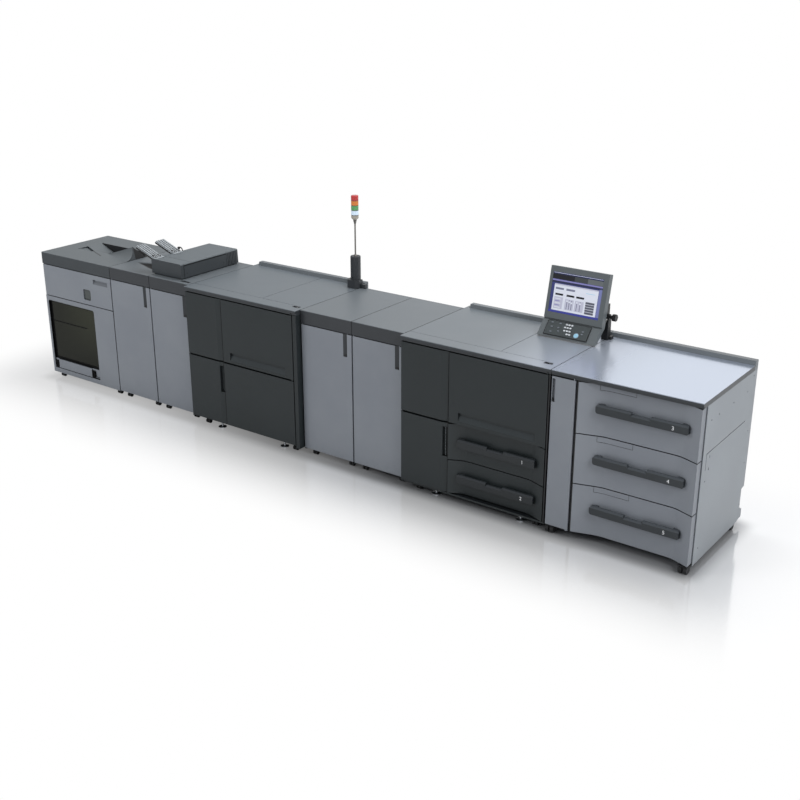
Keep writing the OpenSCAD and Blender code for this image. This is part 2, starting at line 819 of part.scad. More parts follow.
module unit_housings() {
    color(dark) {
        for (u = UNITS) {
            block(u[0] + hs, u[0] + u[1] - hs, unit_ch, y_unit_back, unit_base_z, unit_band_z);
            hinge_ear(unit_hinge(u[0], u[1]), y_unit, unit_ch + 1, unit_door_z0 - run_gap - ear_t);
            dock(u[0] - hs, u[0] + hs + 1);
        }
        for (x = [x_engine_2, x_engine_1])
            dock(x - hs - 1, x + hs);
    }
}

// Band and top of a unit in one piece, bevelled along its front
module band_top(x0, x1) {
    across(x0, x1)
        polygon([[y_unit, unit_band_z], [y_unit_back, unit_band_z], [y_unit_back, top_z],
            [y_unit + top_bevel, top_z], [y_unit, top_z - top_bevel]]);
}

module unit_tops() {
    slot_w_top = 76;
    slot_d_top = 13;
    color(top_grey)
    for (u = UNITS)
        difference() {
            band_top(u[0] + hs, u[0] + u[1] - hs);
            pin_bore(unit_hinge(u[0], u[1]), y_unit, unit_band_z - 1, unit_band_z + pin_l + 1);
            if (u[0] == x_fold)
                fold_hollow();
            if (u[0] == x_guide)
                translate([x_engine_2 - latch_in - slot_w_top, y_unit + latch_in, top_z - slot_d_top])
                    linear_extrude(slot_d_top + 1)
                        round_rect(slot_w_top, slot_d_top, slot_d_top / 3);
        }
}

// Trough in the folding unit's top: a leaning cone that opens and deepens towards the inserter
module fold_hollow() {
    fall = atan(hollow_d / hollow_l);
    spread = atan(hollow_w / 2 / hollow_l);
    lean = atan((cos(fall) - cos(spread)) / sin(fall));
    cone_l = hollow_l * 1.2;
    intersection() {
        translate([x_guide - hs - hollow_l, y_unit + hollow_in, top_z])
            rotate([0, 90 - lean, 0])
                cylinder(r1 = 0, r2 = cone_l * tan(lean + fall), h = cone_l, $fn = 120);
        block(x_fold, x_guide, y_unit, y_unit_back, unit_band_z, top_z + 1);
    }
}

module unit_door(x, w) {
    x0 = x + hs + unit_door_in;
    x1 = x + w - hs - unit_door_in;
    difference() {
        plate(x0, x1, y_unit, y_unit + door_t, unit_door_z0, unit_door_z1);
        scoop_grip(x1 - gap * 6 - slot_w, slot_w, unit_door_z1 - slot_h, unit_door_z1 + 1, y_unit, 1);
    }
    hinge_pins(unit_hinge(x, w), y_unit, unit_door_z0, unit_door_z1, gap + pin_l);
}
module relay_1_door() { color(light) unit_door(x_relay_1, relay_1_w); }
module relay_2_door() { color(light) unit_door(x_relay_2, relay_2_w); }
module fold_door() { color(light) unit_door(x_fold, fold_w); }
module guide_door() { color(light) unit_door(x_guide, guide_w); }

// ---------- sheet inserter ----------
ins_x0 = x_guide - 19;
ins_x1 = ins_x0 + inserter_w;
ins_y0 = y_unit + 58;
ins_y1 = ins_y0 + inserter_d;
ins_z0 = top_z + inserter_foot;
ins_z1 = top_z + inserter_h;
cap_y = ins_y1 - inserter_cap_l;

// Cross-section of the inserter, bevelled along its upper edges
module inserter_profile(grow) {
    b = 7;
    taper = 5;
    polygon([[ins_x0 - grow, ins_z0], [ins_x1 + grow, ins_z0], [ins_x1 - taper + grow, ins_z1 - b],
        [ins_x1 - taper - b + grow, ins_z1], [ins_x0 + b - grow, ins_z1], [ins_x0 - grow, ins_z1 - b]]);
}

module inserter_box() {
    lid_z = ins_z1 - 15;
    seam_d = 2;
    wrap = 30;
    hole_r = 4;
    hole_z = ins_z0 + 30;
    rib_pitch = 16;
    color(dark) {
        block(x_guide + hs + SINK, ins_x1 - inserter_foot, ins_y0 + inserter_foot,
            ins_y1 - inserter_foot, top_z, ins_z0 + SINK);
        difference() {
            facing(ins_y0, cap_y)
                inserter_profile(0);
            block(ins_x1 - 8, ins_x1 + 1, ins_y0 + wrap, cap_y, lid_z, lid_z + seam_w);
            block(ins_x1 - 8, ins_x1 + 1, ins_y0 + wrap, ins_y0 + wrap + seam_w, ins_z0 - 1, ins_z1 + 1);
            block(ins_x0 - 1, ins_x1 + 1, ins_y0 + seam_y, ins_y0 + seam_y + seam_w,
                ins_z1 - seam_d, ins_z1 + 1);
            for (y = [ins_y0 + 2 * wrap, cap_y - wrap])
                rod_x(ins_x1 - hole_r * 2, ins_x1 + 1, y, hole_z, hole_r);
        }
        facing(cap_y - SINK, cap_y + seam_d + SINK)
            inserter_profile(-seam_d);
        difference() {
            facing(cap_y + seam_d, ins_y1)
                inserter_profile(0);
            for (y = [cap_y + rib_pitch : rib_pitch : ins_y1 - rib_pitch])
                block(ins_x1 - 8, ins_x1 + 1, y, y + 2 * seam_d, ins_z0 - 1, ins_z1 - 12);
        }
    }
}

// Cross-section of a sheet guide: thin plate with four raised slats and two cheeks
module guide_section() {
    plate_t = 3;
    slat_w = 13;
    slat_h = 7;
    cheek_t = 3;
    cheek_h = 14;
    pitch = (guide_plate_w - 2 * cheek_t) / 4;
    square([guide_plate_w, plate_t]);
    for (i = [0 : 3])
        translate([cheek_t + pitch * (i + 0.5) - slat_w / 2, plate_t - SINK])
            square([slat_w, slat_h]);
    for (y = [0, guide_plate_w - cheek_t])
        translate([y, plate_t - cheek_h])
            square([cheek_t, cheek_h]);
}

// Tilted sheet guide whose round-cornered foot plate lies on the inserter's left edge
module sheet_guide(y) {
    foot_x = ins_x0 + 20;
    foot_w = 46;
    foot_h = 4;
    tip_r = 14;
    color(light) {
        intersection() {
            translate([foot_x, y, ins_z1 - foot_h])
                rotate([0, guide_tilt, 0])
                    translate([-guide_l, 0, 0])
                        rotate([90, 0, 90])
                            linear_extrude(guide_l)
                                guide_section();
            difference() {
                translate([foot_x - guide_l, y, ins_z1 - tip_r * 2])
                    linear_extrude(guide_l)
                        round_rect(guide_l, guide_plate_w, tip_r);
                block(ins_x0 - run_gap, foot_x + 1, y - 1, y + guide_plate_w + 1, ins_z0, ins_z1);
            }
        }
        plate(ins_x0 + 2, ins_x0 + foot_w, y, y + guide_plate_w, ins_z1, ins_z1 + foot_h, tip_r);
    }
}

module inserter_guides() {
    first_y = ins_y0 + 4;
    pitch = 192;
    sheet_guide(first_y);
    sheet_guide(first_y + pitch);
}

// ---------- stacker ----------
sx0 = x_stacker + hs;
sx1 = x_fold - hs;
win_x0 = sx0 + 28;
win_x1 = win_x0 + window_w;
strip_z0 = window_z - strip_h;
strip_axis_z = strip_z0 + hinge_in;
upper_door_z0 = stacker_split_z + gap / 2;
upper_door_x0 = sx0 + unit_door_in;
upper_door_x1 = sx1 - unit_door_in;
stacker_hx = hinge_x(upper_door_x0, upper_door_x1, -1);
well_x0 = sx1 - sub_tray_l;
well_y1 = y_unit_back - well_in;
well_y0 = well_y1 - sub_tray_w;
hood_t = 10;
hood_end = 22;
hood_x0 = sx1 - hood_l;
hood_y0 = well_y0 - hood_t - hood_w;
function well_floor(x) = top_z - (x - well_x0) * tan(tray_slope);

// Outline of window and strip, grown by a clearance; only its upper corners are round
module window_outline(grow) {
    w = window_w + 2 * grow;
    h = window_top_z - strip_z0 + 2 * grow;
    translate([win_x0 - grow, strip_z0 - grow]) {
        square([w, h / 2]);
        round_rect(w, h, window_r + grow);
    }
}

module stacker_housing() {
    face_z1 = upper_door_z0 - gap;
    color(light)
    difference() {
        union() {
            block(sx0, sx1, unit_ch, y_unit_back, unit_base_z, unit_band_z);
            facing(y_unit, unit_ch + 1)
                difference() {
                    translate([sx0, unit_base_z])
                        square([sx1 - sx0, face_z1 - unit_base_z]);
                    window_outline(gap);
                }
            hinge_ear(stacker_hx, y_unit, unit_ch + 1, upper_door_z0 - run_gap - ear_t);
        }
        block(win_x0, win_x1, unit_ch - 1, y_unit_back - stacker_wall, strip_z0, window_top_z);
        for (x = [win_x0 - gap - pin_l, win_x1 + gap - 1])
            rod_x(x, x + pin_l + 1, y_unit + hinge_deep, strip_axis_z, pin_r + run_gap);
        tray_well();
    }
}

// Room of the sub tray: floor sloping down to the right, and the shallow hand hollow in front
module tray_well() {
    hand_w = 108;
    hand_l = 150;
    hand_d = 14;
    facing(well_y0, well_y1)
        polygon([[well_x0, top_z], [sx1 + 1, well_floor(sx1 + 1)], [sx1 + 1, top_z + 1],
            [well_x0, top_z + 1]]);
    intersection() {
        translate([well_x0 + 1, well_y0 + sub_tray_w * 0.32, top_z])
            rotate([0, tray_slope, 0])
                rotate([90, 0, 90])
                    linear_extrude(hand_l)
                        polygon([[0, -hand_d], [-hand_w, 0], [-hand_w, hand_l], [0, hand_l]]);
        block(well_x0, sx1, y_unit, well_y1, unit_band_z, top_z + 1);
    }
}

// Outline of the paper guide: it rises to the right and its end leans back
module hood_outline() {
    polygon([[hood_x0, top_z - 1], [sx1, top_z - 1], [sx1, top_z], [sx1 - hood_end, top_z + hood_h],
        [hood_x0, top_z]]);
}

// Paper guide on the stacker's top: a wedge hollowed by a cone that lies on the top
module paper_hood() {
    run = norm([hood_l, hood_h]);
    turn = atan(hood_w / hood_l);
    half = atan((1 - hood_l / run * cos(turn)) / (hood_h / run));
    cone_l = hood_l * 1.4;
    difference() {
        intersection() {
            facing(hood_y0, well_y0)
                hood_outline();
            translate([0, 0, top_z - 1])
                linear_extrude(hood_h + 2)
                    polygon([[hood_x0, well_y0 - hood_t], [sx1, hood_y0], [sx1, well_y0],
                        [hood_x0, well_y0]]);
        }
        translate([hood_x0, well_y0 - hood_t, top_z])
            rotate([0, 0, -turn])
                rotate([0, 90 - half, 0])
                    cylinder(r1 = 0, r2 = cone_l * tan(half), h = cone_l, $fn = 144);
    }
    facing(well_y0 - hood_t, well_y0)
        hood_outline();
}

module stacker_top() {
    color(top_grey) {
        difference() {
            band_top(sx0, sx1);
            pin_bore(stacker_hx, y_unit, unit_band_z - 1, unit_band_z + pin_l + 1);
            tray_well();
        }
        paper_hood();
    }
}

module stacker_upper_door() {
    grip_x1 = upper_door_x1 - gap * 6;
    recess_x1 = grip_x1 - door_grip_w - recess_w / 2;
    recess_z1 = unit_door_z1 - door_grip_h * 3.6;
    recess_deep = 9;
    color(light) {
        difference() {
            plate(upper_door_x0, upper_door_x1, y_unit, y_unit + door_t, upper_door_z0, unit_door_z1);
            slant_grip(grip_x1 - door_grip_w, grip_x1, unit_door_z1 - door_grip_h, door_grip_h, y_unit);
            facing(y_unit - 1, y_unit + recess_deep)
                translate([recess_x1 - recess_w, recess_z1 - recess_w])
                    round_rect(recess_w, recess_w, recess_w / 6);
        }
        hinge_pins(stacker_hx, y_unit, upper_door_z0, unit_door_z1, gap + pin_l);
    }
}

// Lower strip of the drop-down window door: ribbed hinge covers, pins and glazing channel
module stacker_window_door() {
    y0 = y_unit + window_in - run_gap;
    y1 = y_unit + window_in + window_t + run_gap;
    reach = gap + pin_l - 1;
    cover_x = [win_x0 + 3, win_x1 - 48 - hinge_block_w];
    cover_h = window_z - strip_z0 - 16;
    rib = 8;
    color(light)
    difference() {
        union() {
            plate(cover_x[0] + hinge_block_w + 3, cover_x[1] - 3, y_unit, y_unit + door_t,
                strip_z0, window_z, 2);
            plate(win_x0, win_x1, y_unit + hinge_in + 1, y_unit + door_t, strip_z0, window_z, 2);
            for (x = cover_x) {
                plate(x, x + hinge_block_w, y_unit, y_unit + door_t, strip_z0, strip_z0 + cover_h, 2);
                for (rx = [x + rib / 2, x + hinge_block_w - rib * 1.5])
                    plate(rx, rx + rib, y_unit - 3, y_unit + 1, strip_z0 + rib, strip_z0 + cover_h - rib, 1);
            }
            rod_x(win_x0 - reach, win_x1 + reach, y_unit + hinge_deep, strip_axis_z, pin_r);
        }
        block(win_x0 - 1, win_x1 + 1, y0, y1, window_z - channel_h, window_z + 1);
    }
}

module stacker_window() {
    color(black)
    facing(y_unit + window_in, y_unit + window_in + window_t)
        intersection() {
            window_outline(0);
            translate([win_x0, window_z - channel_h + run_gap])
                square([window_w, window_top_z]);
        }
}

// Low paper cart on the stacker's floor
module stacker_cart() {
    cart_in = 14;
    deck_z = strip_z0 + cart_h;
    deck_t = 22;
    leg = 40;
    y0 = unit_ch + cart_in;
    y1 = y_unit_back - stacker_wall - cart_in;
    color(black) {
        block(win_x0 + cart_in, win_x1 - cart_in, y0, y1, deck_z, deck_z + deck_t);
        for (x = [win_x0 + cart_in + leg, win_x1 - cart_in - 2 * leg], y = [y0 + leg, y1 - 2 * leg])
            plate(x, x + leg, y, y + leg, strip_z0, deck_z + SINK);
    }
}

// Black parts fixed to the housings: posts, linings of the sub tray, bar behind the window
module black_trims() {
    lining = 3;
    bar_z = (window_z + window_top_z) / 2 + 82;
    bar_t = 10;
    plate_y1 = well_y1 - lining;
    color(black) {
        block(post_x0, post_x1, y_front + base_t, front_ch, feeder_base_z, feeder_plate_z);
        block(front1_x1 + gap, e1_x1, y_front + 1, front_ch, engine_base_z + base_t, engine_plate_z);
        facing(plate_y1, well_y1)
            polygon([[well_x0, top_z], [sx1, well_floor(sx1)], [sx1, top_z]]);
        intersection() {
            facing(well_y0, plate_y1)
                polygon([[sx1 - hood_t, well_floor(sx1 - hood_t)], [sx1, well_floor(sx1)], [sx1, top_z],
                    [sx1 - hood_end, top_z + hood_h], [sx1 - hood_end - hood_t, top_z + hood_h]]);
            across(sx1 - hood_end - hood_t - 1, sx1 + 1)
                polygon([[well_y0, 0], [plate_y1, 0], [plate_y1, top_z - 1],
                    [well_y0 + hood_h * 1.1, top_z + 2], [well_y0, top_z + hood_h]]);
        }
        block(win_x0, win_x1, unit_ch + 2, unit_ch + 2 + bar_t, bar_z, bar_z + bar_t);
    }
}

// ---------- feet ----------
module levelling_feet() {
    pad_in_l = 250;
    pad_in_r = 188;
    pad_r = 30;
    pad_t = 5;
    neck_r = 12;
    color("silver")
    for (x = [e1_x0 + pad_in_l, e1_x1 - pad_in_r, e2_x0 + pad_in_l, e2_x1 - pad_in_r],
        y = [y_front + front_t, engine_back - front_t])
        translate([x, y, 0]) {
            cylinder(r = pad_r, h = pad_t);
            translate([0, 0, pad_t - SINK])
                cylinder(r1 = pad_r, r2 = neck_r, h = pad_t);
            cylinder(r = neck_r / 2, h = engine_base_z);
            translate([0, 0, engine_base_z - 2 * pad_t])
                cylinder(r = neck_r, h = pad_t, $fn = 6);
        }
}

// Caster with twin wheels, axle, web and round mounting plate
module caster(x, y, h, r) {
    tread_w = r * 0.85;
    web = r / 2;
    cap = 4;
    translate([x, y, r]) {
        for (s = [0, 1])
            rotate([0, 0, 180 * s])
                rotate([0, 90, 0])
                    rotate_extrude()
                        polygon([[0, -SINK], [web, -SINK], [web, web / 2], [r, web / 2],
                            [r, web / 2 + tread_w - 2], [r - 2, web / 2 + tread_w],
                            [web, web / 2 + tread_w - 2], [0, web / 2 + tread_w - 2]]);
        block(-web / 2 + 1, web / 2 - 1, -web, web * 1.5, 0, h - r - cap + SINK);
        rod_z(0, web / 2, h - r - cap, h - r, r);
    }
}

module casters() {
    feeder_in = 26;
    in_l = 80;
    in_r = 36;
    corner = 34;
    bracket_y = y_front + 2;
    color(black) {
        for (x = [fx0 + corner, fx1 - corner]) {
            caster(x, y_front + feeder_in, feeder_base_z, feeder_caster_r);
            caster(x, feeder_rear - 2 * corner, feeder_base_z, feeder_caster_r);
            block(x - corner + skin_t, x + corner - skin_t, bracket_y, bay_y + corner,
                feeder_base_z - skin_t, feeder_base_z);
        }
        for (u = concat([[x_stacker, stacker_w]], UNITS), x = [u[0] + in_l, u[0] + u[1] - in_r],
            y = [y_unit + corner, y_unit_back - 2 * corner])
            caster(x, y, unit_base_z, unit_caster_r);
        for (x = [e1_x0 + in_l + corner, e1_x1 - in_l, e2_x0 + in_l + corner, e2_x1 - in_l],
            y = [y_front + front_t, engine_back - 2 * corner])
            caster(x, y, engine_base_z, unit_caster_r);
    }
}

// ---------- signal lamp ----------
lamp_x = e2_x1 - 48;
lamp_y = y_back - lamp_in;
lamp_base_w = 104;
lamp_base_h = 58;
column_h = 167;
column_z = top_z + lamp_base_h;
collar_h = 32;
collar_z = column_z + column_h + pole_l;
joint_h = 2.4;

// Foot with cut corners and a side box, and the column housing with its stepped rim
module lamp_base() {
    h = lamp_base_w / 2;
    cut = h * 0.38;
    box_w = 40;
    box_h = 30;
    rim_h = 5;
    color(dark) {
        translate([lamp_x, lamp_y, top_z])
            linear_extrude(lamp_base_h)
                polygon([[-h, -h + cut], [-h + cut, -h], [h - cut, -h], [h, -h + cut], [h, h - cut * 2],
                    [-h, h - cut * 2]]);
        plate(lamp_x + h - 2, lamp_x + h + box_w, lamp_y - h / 4, lamp_y + h / 4, top_z, top_z + box_h);
        difference() {
            translate([lamp_x, lamp_y, column_z - SINK])
                rotate_extrude($fn = 72)
                    polygon([[0, 0], [column_r, 0], [column_r, column_h - rim_h],
                        [column_r - rim_h / 2, column_h], [0, column_h]]);
            translate([lamp_x, lamp_y - column_r + rim_h, column_z + rim_h * 3])
                rotate([90, 0, 0])
                    cylinder(r = rim_h, h = column_r);
        }
    }
}

module lamp_pole() {
    socket_h = 12;
    color("silver") {
        rod_z(lamp_x, lamp_y, column_z + column_h - SINK, collar_z + SINK, pole_r);
        translate([lamp_x, lamp_y, column_z + column_h - SINK])
            cylinder(r1 = pole_r * 2, r2 = pole_r + 1, h = socket_h);
        translate([lamp_x, lamp_y, collar_z - collar_h])
            cylinder(r1 = pole_r + 1, r2 = lens_r * 0.55, h = collar_h);
    }
}

// Grey collar, four lens rings with a joint groove between them, and a rounded cap
module lamp_lenses() {
    groove = 1.5;
    color("red")
    translate([lamp_x, lamp_y, collar_z])
        rotate_extrude($fn = 72)
            polygon(concat([[0, 0], [lens_r * 0.6, 0], [lens_r, collar_h * 0.3]],
                [for (i = [0 : 3], p = [[lens_r, -joint_h], [lens_r - groove, -joint_h],
                    [lens_r - groove, 0], [lens_r, 0]]) [p[0], collar_h + i * lens_h + p[1]]],
                [[lens_r, collar_h + 4 * lens_h - groove * 2],
                    [lens_r - groove * 2, collar_h + 4 * lens_h], [0, collar_h + 4 * lens_h]]));
}

// ---------- operation panel ----------
panel_x1 = e1_x1 + 20;
panel_x0 = panel_x1 - panel_w;
pivot_y = y_back - pivot_in;
pivot_z = top_z + pivot_h;
post_x = panel_x1 - post_side / 2;
post_h = post_side / 2;
fork_t = 12;
fork_r = 18;
shaft_r = 6;
arm_r = 16;
knob_r = 22;
knob_t = 24;
knob_x = post_x + post_h + 18;
arm_x0 = post_x - post_h + fork_t + run_gap;
arm_x1 = post_x + post_h - fork_t - run_gap;
lip_z = top_z + 6;
keys_t = 22;
// The bend between display and keys, as a point in y and z
keys_foot = [pivot_y - keys_reach, top_z + keys_lift];
bend = keys_foot + keys_l * [cos(keys_slope), sin(keys_slope)];
up_face = [sin(display_lean), cos(display_lean)];
into_face = [cos(display_lean), -sin(display_lean)];
face_top = bend + display_h * up_face;
function back_y(z) = (bend + display_t * into_face)[0]
    + (z - (bend + display_t * into_face)[1]) * tan(display_lean);

module panel_post() {
    foot_w = 14;
    foot_h = 9;
    joint_z = top_z + pivot_h / 2;
    color(black)
    difference() {
        union() {
            plate(post_x - post_h, post_x + post_h, pivot_y - post_h, pivot_y + post_h, top_z,
                pivot_z - 30);
            plate(post_x - post_h - 1, post_x + post_h + foot_w, pivot_y, pivot_y + post_h + foot_w,
                top_z, top_z + foot_h * 2);
            for (x = [post_x - post_h, post_x + post_h - fork_t])
                across(x, x + fork_t) {
                    translate([pivot_y - fork_r, pivot_z - 31])
                        square([2 * fork_r, 31]);
                    translate([pivot_y, pivot_z])
                        circle(fork_r);
                }
        }
        rod_x(post_x - post_h - 1, post_x + post_h + 1, pivot_y, pivot_z, shaft_r + run_gap);
        difference() {
            block(post_x - post_side, post_x + post_side, pivot_y - post_side, pivot_y + post_side,
                joint_z, joint_z + seam_w);
            plate(post_x - post_h + seam_w, post_x + post_h - seam_w, pivot_y - post_h + seam_w,
                pivot_y + post_h - seam_w, joint_z - 1, joint_z + seam_w + 1);
        }
    }
}

// Tilting arm between the fork's ears, with its clamp shaft and lobed knob
module panel_arm() {
    z0 = pivot_z + 34;
    z1 = pivot_z + 80;
    lobes = 6;
    color(black) {
        rod_x(post_x - post_h - 4, knob_x + SINK, pivot_y, pivot_z, shaft_r);
        rod_x(post_x + post_h + 2, knob_x + SINK, pivot_y, pivot_z, shaft_r * 1.6);
        across(arm_x0, arm_x1) {
            polygon([[back_y(z0), z0], [pivot_y - arm_r, pivot_z], [pivot_y + arm_r, pivot_z],
                [pivot_y + arm_r, z1], [back_y(z1), z1]]);
            translate([pivot_y, pivot_z])
                circle(arm_r);
        }
        translate([knob_x, pivot_y, pivot_z])
            rotate([0, 90, 0])
                difference() {
                    cylinder(r = knob_r, h = knob_t);
                    for (a = [0 : 360 / lobes : 359])
                        rotate([0, 0, a])
                            translate([knob_r + 3, 0, -1])
                                cylinder(r = shaft_r, h = knob_t + 2);
                }
    }
}

// Display and key section in one housing, with a shadow groove between them
screen_in_l = 21;
screen_in_r = 33;
screen_up = 46;
screen_h = 250;
bezel_d = 3;
field_x0 = panel_x0 + 44;
field_x1 = panel_x1 - 65;
field_in = 15;
field_end = 109;
module display() {
    groove = 7;
    key_face = [cos(keys_slope), sin(keys_slope)];
    key_in = [sin(keys_slope), -cos(keys_slope)];
    color(dark)
    difference() {
        across(panel_x0, panel_x1)
            polygon([face_top, bend + groove * up_face, bend + groove * up_face + groove * into_face,
                bend + groove * into_face, bend - 2 * key_face + 2 * key_in, bend - 4 * key_face,
                keys_foot, [keys_foot[0] + 4, lip_z], [keys_foot[0] + keys_t, lip_z],
                bend + display_t * into_face, face_top + display_t * into_face - 6 * up_face,
                face_top + (display_t - 6) * into_face]);
        across(panel_x0 + screen_in_l, panel_x1 - screen_in_r)
            polygon([bend + screen_up * up_face - into_face, bend + screen_up * up_face
                + bezel_d * into_face, bend + (screen_up + screen_h) * up_face + bezel_d * into_face,
                bend + (screen_up + screen_h) * up_face - into_face]);
    }
    color(dark)
    across(field_x0, field_x1)
        polygon([keys_foot + field_in * key_face + key_in,
            keys_foot + field_in * key_face - field_h * key_in,
            keys_foot + field_end * key_face - field_h * key_in,
            keys_foot + field_end * key_face + key_in]);
}

module display_screen() {
    edge = 0.5;
    sheet = 1.6;
    y0 = bezel_d - run_gap;
    color("white")
    across(panel_x0 + screen_in_l + edge, panel_x1 - screen_in_r - edge)
        polygon([bend + (screen_up + edge) * up_face + (y0 - sheet) * into_face,
            bend + (screen_up + edge) * up_face + y0 * into_face,
            bend + (screen_up + screen_h - edge) * up_face + y0 * into_face,
            bend + (screen_up + screen_h - edge) * up_face + (y0 - sheet) * into_face]);
}

feeder_cabinet();
feeder_side_panel();
feeder_door();
drawer_3();
drawer_4();
drawer_5();
drawer_3_handle();
drawer_4_handle();
drawer_5_handle();
machine_tops();
engine_1_housing();
engine_2_housing();
engine_covers();
engine_1_side_door();
engine_1_front_door();
tray_1();
tray_2();
tray_1_handle();
tray_2_handle();
engine_2_side_door();
engine_2_front_door();
unit_housings();
unit_tops();
relay_1_door();
relay_2_door();
fold_door();
guide_door();
inserter_box();
inserter_guides();
stacker_housing();
stacker_top();
stacker_upper_door();
stacker_window_door();
stacker_window();
stacker_cart();
black_trims();
levelling_feet();
casters();
lamp_base();
lamp_pole();
lamp_lenses();
panel_post();
panel_arm();
display();
display_screen();
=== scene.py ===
import bpy, bmesh, math
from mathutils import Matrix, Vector


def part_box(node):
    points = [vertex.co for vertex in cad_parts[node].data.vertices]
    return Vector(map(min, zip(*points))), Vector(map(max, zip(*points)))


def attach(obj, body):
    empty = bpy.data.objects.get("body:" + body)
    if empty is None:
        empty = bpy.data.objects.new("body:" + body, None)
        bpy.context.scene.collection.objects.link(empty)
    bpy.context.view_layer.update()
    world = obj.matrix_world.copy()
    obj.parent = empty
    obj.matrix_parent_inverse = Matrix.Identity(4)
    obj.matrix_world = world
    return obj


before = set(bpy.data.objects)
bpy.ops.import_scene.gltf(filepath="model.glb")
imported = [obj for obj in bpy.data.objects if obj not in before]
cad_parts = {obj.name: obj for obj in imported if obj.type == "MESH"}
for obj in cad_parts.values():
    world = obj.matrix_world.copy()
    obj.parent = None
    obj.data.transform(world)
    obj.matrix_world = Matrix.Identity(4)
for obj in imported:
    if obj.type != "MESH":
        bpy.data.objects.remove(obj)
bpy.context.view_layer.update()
scene = bpy.context.scene
mm = 0.001
right, back, up = Vector((1, 0, 0)), Vector((0, 1, 0)), Vector((0, 0, 1))

# ---- camera ----
cameraSettings = {"place": (4.8558, -5.9861, 3.2965), "azimuth": 36.09, "elevation": 21.25, "lens": 52.44}
cameraData = bpy.data.cameras.new("rowCamera")
cameraData.lens = cameraSettings["lens"]
cameraData.sensor_width = 36
cameraData.clip_end = 200
camera = bpy.data.objects.new("rowCamera", cameraData)
camera.location = cameraSettings["place"]
camera.rotation_euler = (math.radians(90 - cameraSettings["elevation"]), 0,
                         math.radians(cameraSettings["azimuth"]))
scene.collection.objects.link(camera)
scene.camera = camera
scene.view_settings.view_transform = "Standard"
print("camera set")


# ---- small tools for materials ----
def toLinear(hexText):
    channels = [int(hexText[i:i + 2], 16) / 255 for i in (1, 3, 5)]
    return [c / 12.92 if c <= 0.04045 else ((c + 0.055) / 1.055) ** 2.4 for c in channels] + [1.0]


def addNode(tree, kind, settings=None, inputs=None):
    # an input takes a plain value, a socket, or a node, which stands for its first output in use
    node = tree.nodes.new("ShaderNode" + kind)
    for key, value in (settings or {}).items():
        setattr(node, key, value)
    for key, value in (inputs or {}).items():
        if isinstance(value, bpy.types.Node):
            value = next(socket for socket in value.outputs if socket.enabled)
        if isinstance(value, bpy.types.NodeSocket):
            tree.links.new(value, node.inputs[key])
        else:
            node.inputs[key].default_value = value
    return node


def startMaterial(name):
    material = bpy.data.materials.new(name)
    material.use_nodes = True
    material.node_tree.nodes.clear()
    return material, material.node_tree


softStep = {"interpolation_type": "SMOOTHSTEP"}  # for MapRange: input 1 is where it starts, 2 where it ends
colourMix = {"data_type": "RGBA"}  # for Mix: input 0 is the factor, 6 and 7 are the colours
times = {"operation": "MULTIPLY"}
larger = {"operation": "MAXIMUM"}

# what a look leaves out; without scuffs of its own it has them in its main colour
coatDefaults = {"crevice": "#101214", "creviceMm": 9, "edgeMm": 1.2, "grainMm": 0.8, "depthMm": 0.05,
                "specular": 0.5}


